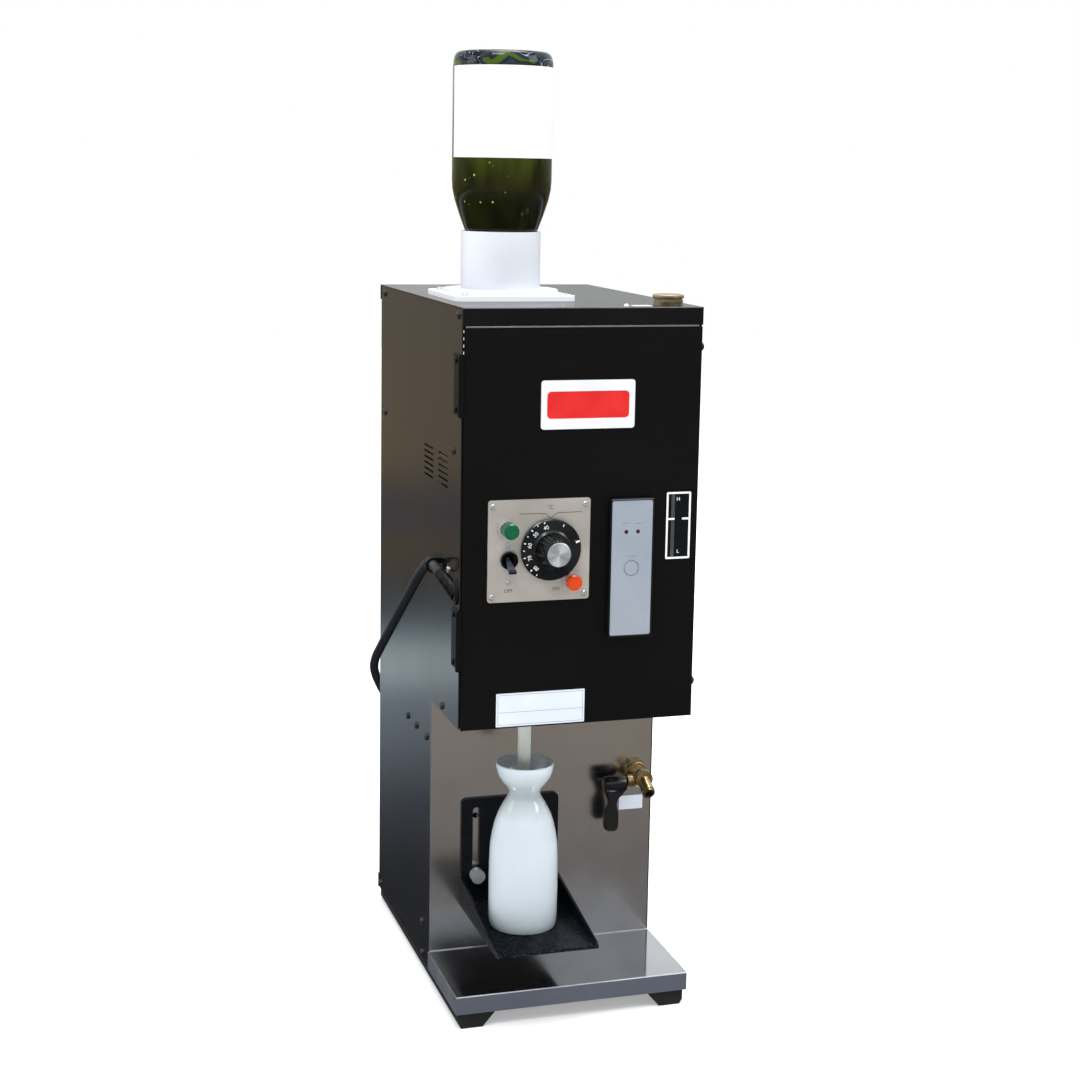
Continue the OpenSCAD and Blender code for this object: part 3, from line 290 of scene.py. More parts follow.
def bottle_glass():
    """Dark olive glass with painted light: a lighter green from 815 mm up, painted glints of yellow-green on the left
    of the wall below the label, and painted glints of pale blue and green in the base above the label.
    """
    m, nt, p = new_mat("glass_bottle")
    v = coords(nt)
    stretch = coords(nt, (1, 1, 0.25))
    body = two(nt, noise(nt, stretch, 26, 3.0), (0.006, 0.0065, 0.0015), (0.017, 0.019, 0.0035), 0.35, 0.7)
    zed = add(nt, "ShaderNodeSeparateXYZ")
    nt.links.new(v, zed.inputs[0])
    # painted light: from 815 mm to 850 mm height the glass turns to a lighter green, where light falls on the bottle
    painted_upper_light = add(nt, "ShaderNodeMix", data_type="RGBA")
    nt.links.new(remap(nt, zed.outputs["Z"], 0, 0.8, 0.815, 0.850), painted_upper_light.inputs[0])
    nt.links.new(body, painted_upper_light.inputs[6])
    nt.links.new(two(nt, noise(nt, stretch, 34, 2.0), (0.012, 0.014, 0.002), (0.060, 0.072, 0.008), 0.4, 0.62), painted_upper_light.inputs[7])
    body = painted_upper_light.outputs[2]
    # painted highlights: small yellow-green dots on the left of the wall between 800 and 850 mm height, glints of light
    # seen through the glass
    vor = add(nt, "ShaderNodeTexVoronoi")
    vor.inputs["Scale"].default_value = 150
    nt.links.new(v, vor.inputs["Vector"])
    painted_glint_dots = remap(nt, vor.outputs["Distance"], 1, 0, 0.10, 0.2)
    patch = remap(nt, noise(nt, v, 60, 2.0), 0, 1, 0.46, 0.52)
    where = add(nt, "ShaderNodeSeparateXYZ")
    nt.links.new(v, where.inputs[0])
    for lim in (remap(nt, where.outputs["X"], 1, 0, -0.056, -0.050), remap(nt, where.outputs["Z"], 0, 1, 0.800, 0.806)):
        both = add(nt, "ShaderNodeMath", operation="MULTIPLY")
        nt.links.new(patch, both.inputs[0])
        nt.links.new(lim, both.inputs[1])
        patch = both.outputs[0]
    sep = add(nt, "ShaderNodeSeparateXYZ")
    nt.links.new(v, sep.inputs[0])
    low = remap(nt, sep.outputs["Z"], 1, 0, 0.835, 0.850)
    mul = add(nt, "ShaderNodeMath", operation="MULTIPLY")
    nt.links.new(painted_glint_dots, mul.inputs[0])
    nt.links.new(patch, mul.inputs[1])
    mul2 = add(nt, "ShaderNodeMath", operation="MULTIPLY")
    nt.links.new(mul.outputs[0], mul2.inputs[0])
    nt.links.new(low, mul2.inputs[1])
    a = add(nt, "ShaderNodeMix", data_type="RGBA")
    nt.links.new(mul2.outputs[0], a.inputs[0])
    nt.links.new(body, a.inputs[6])
    a.inputs[7].default_value = (0.42, 0.50, 0.10, 1)
    # painted highlights: above 937 mm the base is coloured by a swirl of dark navy with thin pale blue veins and green
    # patches, glints and refracted light of the glass
    swirl = add(nt, "ShaderNodeTexNoise")
    swirl.inputs["Scale"].default_value = 24
    swirl.inputs["Detail"].default_value = 1.0
    swirl.inputs["Distortion"].default_value = 1.4
    nt.links.new(coords(nt, (1, 1, 2.2)), swirl.inputs["Vector"])
    foot = add(nt, "ShaderNodeValToRGB")
    cr = foot.color_ramp
    cr.elements[0].position, cr.elements[0].color = 0.0, (0.10, 0.16, 0.02, 1)
    cr.elements[1].position, cr.elements[1].color = 1.0, (0.10, 0.16, 0.02, 1)
    for pos, c in ((0.36, (0.05, 0.09, 0.012)), (0.40, (0.003, 0.006, 0.012)), (0.470, (0.030, 0.036, 0.052)), (0.500, (0.002, 0.004, 0.010)), (0.536, (0.002, 0.004, 0.010)), (0.541, (0.50, 0.58, 0.70)), (0.546, (0.003, 0.006, 0.016)), (0.62, (0.002, 0.004, 0.010)), (0.66, (0.07, 0.12, 0.02))):
        e = cr.elements.new(pos)
        e.color = (*c, 1)
    nt.links.new(swirl.outputs["Fac"], foot.inputs["Fac"])
    b = add(nt, "ShaderNodeMix", data_type="RGBA")
    nt.links.new(remap(nt, sep.outputs["Z"], 0, 1, 0.9365, 0.9395), b.inputs[0])
    nt.links.new(a.outputs[2], b.inputs[6])
    nt.links.new(foot.outputs["Color"], b.inputs[7])
    nt.links.new(b.outputs[2], p.inputs["Base Color"])
    nt.links.new(remap(nt, noise(nt, v, 30, 2.0), 0.04, 0.10), p.inputs["Roughness"])
    p.inputs["IOR"].default_value = 1.52
    p.inputs["Specular IOR Level"].default_value = 0.18
    p.inputs["Transmission Weight"].default_value = 0.12
    bump(nt, p, noise(nt, stretch, 30.0, 2.0), 0.22, 0.0012)
    return m


M["glass_green"] = bottle_glass()
M["gauge_glass"] = surface("glass_smoked", (0.0030, 0.0042, 0.0048), (0.0050, 0.0062, 0.0070), 0.06, 0.12, tone=30, grain=900, grain_h=0.00001, strength=0.1, spec=0.14)
M["lens_green"] = glass("lens_green", (0.0, 0.115, 0.045), 0.12, 0.25, 1.5, 200)
M["lens_orange"] = glass("lens_orange", (0.78, 0.07, 0.008), 0.12, 0.25, 1.5, 200)
m, nt, p = new_mat("silicone_milky")
v = coords(nt)
n = noise(nt, v, 60, 3)
nt.links.new(two(nt, n, (0.58, 0.63, 0.57), (0.66, 0.70, 0.64)), p.inputs["Base Color"])
nt.links.new(remap(nt, n, 0.28, 0.4), p.inputs["Roughness"])
p.inputs["Transmission Weight"].default_value = 0.15
p.inputs["Subsurface Weight"].default_value = 0.25
p.inputs["Subsurface Scale"].default_value = 0.004
bump(nt, p, n, 0.1, 0.0001)
M["silicone"] = m
m, nt, p = new_mat("porcelain_glaze")
v = coords(nt)
n = noise(nt, v, 9, 4)
body = two(nt, n, (0.585, 0.655, 0.705), (0.62, 0.69, 0.735))
# painted shade: the glaze is mixed towards a darker grey between 198 and 250 mm height, the shade on the flask's waist
zz = add(nt, "ShaderNodeSeparateXYZ")
nt.links.new(v, zz.inputs[0])
waist = add(nt, "ShaderNodeMath", operation="MULTIPLY")
nt.links.new(remap(nt, zz.outputs["Z"], 0, 1, 0.198, 0.220), waist.inputs[0])
nt.links.new(remap(nt, zz.outputs["Z"], 1, 0, 0.232, 0.250), waist.inputs[1])
grey = add(nt, "ShaderNodeMix", data_type="RGBA")
nt.links.new(waist.outputs[0], grey.inputs[0])
nt.links.new(body, grey.inputs[6])
grey.inputs[7].default_value = (0.40, 0.455, 0.475, 1)
nt.links.new(grey.outputs[2], p.inputs["Base Color"])
nt.links.new(remap(nt, n, 0.07, 0.13), p.inputs["Roughness"])
p.inputs["Coat Weight"].default_value = 0.6
p.inputs["Coat Roughness"].default_value = 0.04
p.inputs["Subsurface Weight"].default_value = 0.08
p.inputs["Subsurface Scale"].default_value = 0.003
bump(nt, p, noise(nt, v, 24, 2), 0.06, 0.0006)
M["porcelain"] = m

# ---------------------------------------------------------------- piece helpers


def obj_from(bm, name, mat, body, smooth=True, bevel=0.0):
    me = bpy.data.meshes.new(name)
    bm.normal_update()
    bm.to_mesh(me)
    bm.free()
    o = bpy.data.objects.new(name, me)
    bpy.context.scene.collection.objects.link(o)
    me.materials.append(M[mat])
    if smooth:
        me.shade_smooth()
        me.set_sharp_from_angle(angle=math.radians(35))
    if bevel:
        b = o.modifiers.new("edges", "BEVEL")
        b.width, b.segments, b.limit_method, b.angle_limit = bevel, 2, "ANGLE", math.radians(40)
    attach(o, body)
    return o


def poly_plate(bm, pts, y0, y1):
    """A closed prism: pts are (x, z) in drawing millimetres, from plane y0 (front) to y1 (back)."""
    area = sum(pts[i][0] * pts[(i + 1) % len(pts)][1] - pts[(i + 1) % len(pts)][0] * pts[i][1] for i in range(len(pts)))
    if area < 0:
        pts = pts[::-1]
    a = [bm.verts.new(D(x, y0, z)) for x, z in pts]
    b = [bm.verts.new(D(x, y1, z)) for x, z in pts]
    bm.faces.new(a)
    bm.faces.new(b[::-1])
    for i in range(len(pts)):
        j = (i + 1) % len(pts)
        bm.faces.new((a[j], a[i], b[i], b[j]))


def rrect(x0, x1, z0, z1, r, n=6):
    out = []
    for cx, cz, a0 in ((x1 - r, z1 - r, 0), (x0 + r, z1 - r, 90), (x0 + r, z0 + r, 180), (x1 - r, z0 + r, 270)):
        for k in range(n + 1):
            a = math.radians(a0 + 90 * k / n)
            out.append((cx + r * math.cos(a), cz + r * math.sin(a)))
    return out


def frame_plate(bm, x0, x1, z0, z1, r, w, y0, y1):
    """A flat rounded frame of width w."""
    o, i = rrect(x0, x1, z0, z1, r), rrect(x0 + w, x1 - w, z0 + w, z1 - w, max(r - w, 0.3))
    n = len(o)
    V = [[bm.verts.new(D(x, y, z)) for x, z in ring] for y in (y0, y1) for ring in (o, i)]
    for k in range(n):
        j = (k + 1) % n
        bm.faces.new((V[0][k], V[0][j], V[1][j], V[1][k]))
        bm.faces.new((V[2][j], V[2][k], V[3][k], V[3][j]))
        bm.faces.new((V[0][j], V[0][k], V[2][k], V[2][j]))
        bm.faces.new((V[1][k], V[1][j], V[3][j], V[3][k]))


def disc_y(bm, cx, cz, r, y0, y1, n=40):
    poly_plate(bm, [(cx + r * math.cos(2 * math.pi * k / n), cz + r * math.sin(2 * math.pi * k / n)) for k in range(n)], y0, y1)


def bar(bm, x0, z0, x1, z1, w, y0, y1):
    """A straight line of width w between two points: printed lines, and the painted highlight on the dial."""
    dx, dz = x1 - x0, z1 - z0
    l = math.hypot(dx, dz)
    nx, nz = -dz / l * w / 2, dx / l * w / 2
    poly_plate(bm, [(x0 + nx, z0 + nz), (x0 - nx, z0 - nz), (x1 - nx, z1 - nz), (x1 + nx, z1 + nz)], y0, y1)


def revolve(name, mat, body, origin, axis, prof, n=64, flute=None, closed=False):
    """A turned piece. prof is (radius, height) along axis from origin, in millimetres; flute(r, h, a) may move the radius."""
    bm = bmesh.new()
    z = Vector(axis).normalized()
    x = z.orthogonal().normalized()
    y = z.cross(x)
    o = D(*origin)
    rings = []
    for r, h in prof:
        if r < 1e-6:
            rings.append([bm.verts.new(o + z * h / 1000)])
        else:
            ring = []
            for k in range(n):
                a = 2 * math.pi * k / n
                rr = flute(r, h, a) if flute else r
                ring.append(bm.verts.new(o + z * h / 1000 + (x * math.cos(a) + y * math.sin(a)) * rr / 1000))
            rings.append(ring)
    for A, B in zip(rings, rings[1:]):
        for k in range(n):
            j = (k + 1) % n
            if len(A) == 1 and len(B) == 1:
                continue
            if len(A) == 1:
                bm.faces.new((A[0], B[k], B[j]))
            elif len(B) == 1:
                bm.faces.new((A[k], A[j], B[0]))
            else:
                bm.faces.new((A[k], A[j], B[j], B[k]))
    if closed:
        bmesh.ops.remove_doubles(bm, verts=bm.verts, dist=1e-7)
    bmesh.ops.recalc_face_normals(bm, faces=bm.faces)
    return obj_from(bm, name, mat, body)


def swept(name, mat, body, line, radii, n=32):
    """A round piece along a line of points in drawing millimetres, with its own radius at each, closed at both ends."""
    bm = bmesh.new()
    P = [Vector(q) for q in line]
    side = Vector((0, 0, 1))
    rings = []
    for i, q in enumerate(P):
        t = (P[min(i + 1, len(P) - 1)] - P[max(i - 1, 0)]).normalized()
        a = (side - t * side.dot(t)).normalized()
        b = t.cross(a)
        rings.append([bm.verts.new(D(*(q + (a * math.cos(2 * math.pi * k / n) + b * math.sin(2 * math.pi * k / n)) * radii[i]))) for k in range(n)])
    for A, B in zip(rings, rings[1:]):
        for k in range(n):
            bm.faces.new((A[k], A[(k + 1) % n], B[(k + 1) % n], B[k]))
    bm.faces.new(rings[0][::-1])
    bm.faces.new(rings[-1])
    bmesh.ops.recalc_face_normals(bm, faces=bm.faces)
    return obj_from(bm, name, mat, body)


def lofted(name, mat, body, secs):
    """Rounded rectangles across X joined into one closed piece: secs are (x, y, z, half width, half height, corner)."""
    bm = bmesh.new()
    rings = []
    for x, y, z, hy, hz, r in secs:
        rings.append([bm.verts.new(D(x, y + a, z + b)) for a, b in rrect(-hy, hy, -hz, hz, min(r, hy - 0.01, hz - 0.01), 6)])
    m_ = len(rings[0])
    for A, B in zip(rings, rings[1:]):
        for k in range(m_):
            bm.faces.new((A[k], A[(k + 1) % m_], B[(k + 1) % m_], B[k]))
    bm.faces.new(rings[0][::-1])
    bm.faces.new(rings[-1])
    bmesh.ops.recalc_face_normals(bm, faces=bm.faces)
    return obj_from(bm, name, mat, body)


def prism(bm, pts, axis_from, axis_to):
    """A closed prism between two equal outlines given point by point."""
    a = [bm.verts.new(D(*(Vector(q) + Vector(axis_from)))) for q in pts]
    b = [bm.verts.new(D(*(Vector(q) + Vector(axis_to)))) for q in pts]
    bm.faces.new(a)
    bm.faces.new(b[::-1])
    for i in range(len(pts)):
        j = (i + 1) % len(pts)
        bm.faces.new((a[j], a[i], b[i], b[j]))


def brick(bm, x0, x1, y0, y1, z0, z1):
    prism(bm, [(x0, y0, z0), (x1, y0, z0), (x1, y1, z0), (x0, y1, z0)], (0, 0, 0), (0, 0, z1 - z0))


# ---------------------------------------------------------------- mains cord, made first
route = [(-124.5, 22.8, 442.8), (-127.8, 29.9, 447.6), (-130, 38.8, 451.2), (-131, 50.5, 453.6), (-131, 66, 454), (-130, 90, 450), (-128.5, 120, 437), (-127.5, 150, 420), (-127, 180, 401), (-126.5, 210, 382), (-126.5, 240, 362), (-126.5, 270, 342), (-126.5, 300, 322), (-126.5, 325, 305), (-126.5, 348, 288), (-123, 368, 269), (-112, 382, 245), (-96, 389, 217), (-83, 391, 185), (-77, 393, 150), (-75, 396, 118), (-75, 397, 90), (-75, 397, 62), (-75, 401, 43.5), (-75, 411, 28), (-75, 426.5, 17.5), (-75, 445, 13.7)]


def ease(t):
    t = min(1.0, max(0.0, t))
    return t * t * (3 - 2 * t)


def coil_point(th):
    """th is how far the cord has gone round its coil, in degrees: over the top, in and down, then out along the floor."""
    r = 55 - 5 * ease((th - 240) / 83) + 10 * ease((th - 500) / 120)
    under = 50 + 10 * ease((th + 360 - 500) / 120)
    z = 5 + (math.sqrt(100 - (under - 55) ** 2) + 0.05) * (1 - ease((th - 290) / 70))
    a = math.radians(th)
    return (-20 - r * math.cos(a), 445 + r * math.sin(a), z)


pts = [Vector(q) for q in route]
path = []
for i in range(len(pts) - 1):
    p0, p1, p2, p3 = pts[max(i - 1, 0)], pts[i], pts[i + 1], pts[min(i + 2, len(pts) - 1)]
    for k in range(3):
        t = k / 3
        path.append(0.5 * ((2 * p1) + (p2 - p0) * t + (2 * p0 - 5 * p1 + 4 * p2 - p3) * t * t + (3 * p1 - p0 - 3 * p2 + p3) * t ** 3))
path += [Vector(coil_point(th)) for th in range(0, 811, 6)]
path += [Vector((x, 505, 5)) for x in (-12, 0, 12, 26, 38)]
cu = bpy.data.curves.new("mains_cord", "CURVE")
cu.dimensions = "3D"
cu.bevel_depth = 0.005
cu.bevel_resolution = 6
cu.use_fill_caps = True
sp = cu.splines.new("POLY")
sp.points.add(len(path) - 1)
for q, v_ in zip(sp.points, path):
    q.co = (*D(*v_), 1)
sp.use_smooth = True
cord = bpy.data.objects.new("mains_cord", cu)
bpy.context.scene.collection.objects.link(cord)
cu.materials.append(M["cord_rubber"])
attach(cord, "cabinet")
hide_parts("cord_run", "cord_coil", "cord_tail")
# moulded plug with a ribbed tail and two flat pins
ribs = []
for k in range(7):
    h = 5.7 if k % 2 else 6.5
    ribs += [(37 + 2 * k, 505, h + 0.02, h, h, h), (38.7 + 2 * k, 505, h + 0.02, h, h, h)]
plug = lofted("plug_body", "cord_rubber", "cabinet", ribs + [(52, 505, 7.4, 8.2, 7.3, 6), (55.5, 505, 9.2, 11.4, 9.0, 6), (59, 505, 10, 13, 9.9, 5), (66, 505, 10, 12.7, 9.8, 5), (68, 505, 10, 12.1, 9.2, 4.6), (72, 505, 10, 12.1, 9.2, 4.6),
              (74, 505, 10, 12.8, 9.8, 5), (82, 505, 10, 13, 9.9, 4), (84, 505, 10, 12.2, 9.2, 3.4)])
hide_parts("mains_plug")
bm = bmesh.new()
for y in (498.65, 511.35):
    brick(bm, 83.5, 100.4, y - 0.75, y + 0.75, 7, 13.3)
    brick(bm, 100.4, 101, y - 0.45, y + 0.45, 7.6, 12.7)
pins = obj_from(bm, "plug_pins", "screw_silver", "cabinet", smooth=False, bevel=.0003)
cord.visible_glossy = False
# strain relief: a flange on the panel and a grooved sleeve that tapers down to the cord
relief = [(-118.5, 13.7, 435.1), (-121.5, 18.3, 438.9), (-124.5, 22.8, 442.8), (-127.8, 29.9, 447.6), (-130, 38.8, 451.2)]
line, rad = [], []
for i in range(len(relief) - 1):
    a, b = Vector(relief[i]), Vector(relief[i + 1])
    for k in range(6):
        t = (i + k / 6) / (len(relief) - 1)
        line.append(a.lerp(b, k / 6))
        rad.append(8.0 - 2.5 * t - (0.3 if t > 0.3 and (k // 2) % 3 == 1 else 0))
line.append(Vector(relief[-1]))
rad.append(5.45)
gland = swept("strain_relief", "door_paint", "cabinet", line, rad, 40)
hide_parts("cord_gland")
gland.visible_glossy = False
revolve("relief_flange", "door_paint", "cabinet", (-118.5, 16, 437), (-1, 0, 0), [(0, 0), (12.5, 0), (12.5, 2.6), (11.8, 3.4), (9.6, 3.6), (9, 4.4), (0, 4.6)], 48)
# the tie round the coil
bm = bmesh.new()
frame_plate(bm, 26.4, 41.2, 0.0, 19.7, 6.5, 1.0, 440.5, 449.5)
obj_from(bm, "coil_tie", "tie_black", "cabinet", bevel=.0002)
bm = bmesh.new()
brick(bm, 29.5, 38, 442, 448, 19.5, 21.6)
obj_from(bm, "coil_tie_buckle", "tie_black", "cabinet", smooth=False, bevel=.0006)

# ---------------------------------------------------------------- materials of the CAD nodes
for s in frame["record"]["subparts"]:
    o, mk = N[s["node"]], s["material_slot"]
    if s["node"] == "drip_tray":
        mk = "stainless_tray"
    if s["node"] == "gauge_window":
        mk = "gauge_glass"
    if s["node"] in ("hinge_fixed", "door_hinge_leaves", "cord_clip"):
        mk = "door_paint"
    if s["node"] in ("thumb_screw_left", "thumb_screw_right"):
        mk = "thumb_steel"
    o.data.materials.clear()
    o.data.materials.append(M[mk])
    o.data.shade_smooth()
    o.data.set_sharp_from_angle(angle=math.radians(28))
for n, w in (("side_panel_left", .0004), ("side_panel_right", .0004), ("top_cover", .0009), ("door_shell", .0006), ("membrane_case", .0007), ("drip_tray", .0009),
             ("shelf_bracket", .0007), ("control_plate", .0003), ("membrane_panel", .0005), ("nameplate", .0004), ("runners", .0008),
             ("bottle_collar", .0008), ("hinge_fixed", .0004), ("drain_cock", .0005)):
    b = N[n].modifiers.new("edges", "BEVEL")
    b.width, b.segments, b.limit_method, b.angle_limit = w, 2, "ANGLE", math.radians(50)
    b.use_clamp_overlap = True

# ---------------------------------------------------------------- name plate, sticker, control plate
bm = bmesh.new(); poly_plate(bm, rrect(-37, 45.5, 604.5, 630.5, 4), -1.75, -1.45)
obj_from(bm, "nameplate_red_bar", "red_enamel", "door", bevel=.0001)
bm = bmesh.new(); poly_plate(bm, rrect(-82.9, 7, 304.4, 337.6, 0.8), -0.25, 0.05)
obj_from(bm, "sticker_blank", "sticker", "door")
bm = bmesh.new(); frame_plate(bm, -81.2, 5.3, 306.0, 336.0, 0.5, 0.35, -0.32, -0.2); bar(bm, -81, 318.5, 5.1, 318.5, 0.35, -0.32, -0.2)
obj_from(bm, "sticker_rule", "print_grey", "door", smooth=False)
bm = bmesh.new()
line = [(-62.8, 513.8), (-37.2, 513.6), (-31.5, 508.7), (-25, 513.8), (-0.3, 513.9)]
for a, b in zip(line, line[1:]):
    bar(bm, *a, *b, 0.55, -1.62, -1.45)
obj_from(bm, "index_line", "print_dark", "door", smooth=False)


def lettering(name, text, size, centre, y, mat, body, angle=0.0, thick=0.08):
    """Plain figures standing on the front plane, made into a mesh."""
    c = bpy.data.curves.new(name, "FONT")
    c.body, c.size, c.align_x, c.align_y = text, size / 1000, "CENTER", "CENTER"
    c.extrude = thick / 1000
    c.resolution_u = 3
    t = bpy.data.objects.new(name + "_t", c)
    bpy.context.scene.collection.objects.link(t)
    bpy.context.view_layer.update()
    me = bpy.data.meshes.new_from_object(t.evaluated_get(bpy.context.evaluated_depsgraph_get()))
    bpy.data.objects.remove(t)
    me.transform(Matrix.Translation(D(centre[0], y, centre[1])) @ Matrix.Rotation(angle, 4, "Y") @ Matrix.Rotation(math.radians(90), 4, "X"))
    o = bpy.data.objects.new(name, me)
    bpy.context.scene.collection.objects.link(o)
    me.materials.clear()
    me.materials.append(M[mat])
    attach(o, body)
    return o


lettering("mark_degrees", "°C", 6.0, (-31.9, 519.3), -1.55, "print_dark", "door")
lettering("mark_off", "OFF", 5.0, (-72.7, 439.2), -1.55, "print_dark", "door")
lettering("mark_on", "ON", 5.0, (-25.1, 439.4), -1.55, "print_dark", "door")

# dial: spun cap, scale figures and ticks
X0, Z0 = -31.2, 478.2
revolve("dial_cap", "silver_cap", "dial", (X0, -29.1, Z0), (0, -1, 0), [(0, 0), (11.6, 0), (11.7, 0.5), (11.2, 0.9), (10.6, 1.0), (5, 0.75), (0, 0.7)], 72)
bm = bmesh.new()
for k in range(10):
    a = math.radians(-16 - 14.7 * k)
    r0, r1, w = (26.6, 28.7, 1.15) if k % 2 == 0 else (27.0, 28.5, 0.85)
    bar(bm, X0 + r0 * math.sin(a), Z0 + r0 * math.cos(a), X0 + r1 * math.sin(a), Z0 + r1 * math.cos(a), w, -5.95, -5.2)
for deg, r0, r1, w in ((74, 24.4, 29.0, 1.7), (26, 22.4, 27.4, 0.8)):
    a = math.radians(deg)
    bar(bm, X0 + r0 * math.sin(a), Z0 + r0 * math.cos(a), X0 + r1 * math.sin(a), Z0 + r1 * math.cos(a), w, -6.35, -5.2)
obj_from(bm, "dial_ticks", "print_white", "dial", smooth=False)
# painted highlight: a thin grey line across the dial from near the cap towards the off mark, the highlight on the
# knob's cone
bm = bmesh.new()
bar(bm, X0 + 9.5, Z0 + 16.5, X0 + 24.2, Z0 + 8.0, 0.45, -6.5, -5.2)
obj_from(bm, "dial_cone_painted_highlight", "print_grey", "dial", smooth=False)
for k, t in enumerate(("40", "50", "60", "70", "80")):
    deg = -16 - 30.2 * k
    a = math.radians(deg)
    lettering("dial_figure_" + t, t, 5.2, (X0 + 22.9 * math.sin(a), Z0 + 22.9 * math.cos(a)), -6.95, "print_white", "dial", angle=a, thick=0.5)

# membrane: lamps, ring round the key, small marks
bm = bmesh.new()
for x in (44.3, 56.3):
    disc_y(bm, x, 493.1, 2.0, -5.95, -4.8, 32)
obj_from(bm, "membrane_lamps", "led_dark", "door", bevel=.0003)
bm = bmesh.new()
n = 48
V = [[bm.verts.new(D(50.3 + r * math.cos(2 * math.pi * k / n), y, 457.1 + r * math.sin(2 * math.pi * k / n))) for k in range(n)] for r, y in ((7.9, -5.68), (7.9, -5.86), (7.35, -5.86), (7.35, -5.68))]
for A, B in zip(V, V[1:] + V[:1]):
    for k in range(n):
        bm.faces.new((A[k], A[(k + 1) % n], B[(k + 1) % n], B[k]))
obj_from(bm, "membrane_ring", "print_grey", "door")
bm = bmesh.new()
for x, z, w in ((43.1, 501.6, 7), (56.5, 501.1, 7), (49.9, 468.9, 11)):
    bar(bm, x - w / 2, z, x + w / 2, z, 0.7, -5.82, -5.66)
obj_from(bm, "membrane_marks", "print_grey", "door", smooth=False)

# gauge: white border, level dashes, generic H and L
bm = bmesh.new()
frame_plate(bm, 86.9, 112.2, 463.5, 529.9, 1.2, 1.9, -1.25, -0.95)
for a, b in ((88.7, 95.6), (103.4, 110.4)):
    bar(bm, a, 503.3, b, 503.3, 1.9, -1.25, -0.95)
obj_from(bm, "gauge_print", "print_white", "door", smooth=False)
lettering("gauge_high", "H", 5.0, (99, 522.7), -1.1, "print_white", "door")
lettering("gauge_low", "L", 5.0, (99.8, 470.8), -1.1, "print_white", "door")

# labels on the column, the cover and the bottle
bm = bmesh.new(); poly_plate(bm, rrect(85.3, 111.6, 170.8, 185.8, 0.6), 110.3, 110.65)
obj_from(bm, "column_label_blank", "sticker", "cabinet")
bm = bmesh.new(); brick(bm, 53.6, 72.6, 13, 26, 709.9, 710.15)
obj_from(bm, "cover_label_blank", "label_paper", "cabinet", smooth=False)
revolve("cover_plug_white", "white_pvc", "cabinet", (45.6, 14, 709.9), (0, 0, 1), [(0, 0), (2.3, 0), (2.3, 1.2), (1.7, 2.1), (0.8, 2.4), (0, 2.45)], 32)
# folded lip that shows in the gap above the door, coloured bright as a painted highlight
bm = bmesh.new()
brick(bm, -116.6, 116.6, 1.9, 3.0, 689.4, 695)
brick(bm, -116.6, 116.6, 1.5, 3.0, 695, 702)
obj_from(bm, "door_gap_lip", "edge_bright", "cabinet", smooth=False)
# tube that shows behind the gauge's window
bm = bmesh.new(); poly_plate(bm, [(92.0, 465.9), (95.6, 465.9), (95.6, 527.5), (92.0, 527.5)], -1.06, -0.95)
obj_from(bm, "gauge_tube_edge", "tube_strip", "door", smooth=False)

# filler cap: two tiers with a groove between them, the upper one ridged
cap = revolve("filler_cap_turned", "brass_dull", "filler_cap", (99, 42, 0), (0, 0, 1),
              [(0, 715), (10.2, 715), (10.2, 711.3), (14.3, 711.3), (14.6, 711.6), (14.6, 714.2), (14.3, 714.6), (13.9, 714.9), (13.9, 715.7), (15.1, 716.0), (15.45, 716.4), (15.45, 718.7), (15.1, 719.2), (14.2, 719.6), (11, 719.5), (10.4, 719.2), (0, 719.2)],
              288, flute=lambda r, h, a: r * (1 - 0.014 * (0.5 + 0.5 * math.cos(48 * a))) if r > 15.3 else r)
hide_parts("filler_cap")

# bottle: one wall from the mouth to the foot and back down inside
wall = [(9.5, 645.1), (14, 645.1), (15, 646), (15, 653), (13.8, 655), (13.9, 670), (14.2, 705), (15.0, 713), (16.5, 721), (19, 730), (22, 739), (30, 762), (36.3, 776.5), (42.4, 793), (47, 807), (49.4, 818), (50, 827), (50, 900), (50, 938),
        (49.5, 943), (48.8, 947), (47.4, 950), (45.4, 951.8), (43, 952.6), (39, 952.7), (34, 951.9), (30, 950.5), (18, 946.5), (0, 945), (0, 940), (18, 942.5), (30, 946), (38, 947.5), (44, 944), (46.5, 937), (46.5, 827), (45.8, 818), (43.5, 808), (39, 795), (33, 779),
        (26.5, 764), (18.5, 742), (13, 724), (10.6, 705), (9.5, 685), (9.5, 645.1)]
bottle = revolve("bottle_glass_wall", "glass_green", "bottle", (-43, 146, 0), (0, 0, 1), wall, 120, closed=True)
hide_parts("bottle", "bottle_base", "bottle_shoulder", "bottle_neck")
# paper label wrapped round it, from just inside the left edge
bm = bmesh.new()
cols = []
for k in range(81):
    a = math.atan2(-0.9618, -0.2738) + math.radians(-73 + 193 * k / 80)
    cols.append([bm.verts.new(D(-43 + r * math.cos(a), 146 + r * math.sin(a), z)) for r, z in ((50.05, 848.9), (50.3, 848.9), (50.3, 937.8), (50.05, 937.8))])
for A, B in zip(cols, cols[1:]):
    for k in range(4):
        bm.faces.new((A[k], A[(k + 1) % 4], B[(k + 1) % 4], B[k]))
bm.faces.new(cols[0][::-1])
bm.faces.new(cols[-1])
bmesh.ops.recalc_face_normals(bm, faces=bm.faces)
obj_from(bm, "bottle_label_blank", "label_paper", "bottle")

# toggle: ball in the bush, flat paddle with a dark square tip
piv, td = Vector((-72.6, 5, 469.2)), Vector((0, -0.9107, -0.4131))
tn = Vector((0, -0.4131, 0.9107))


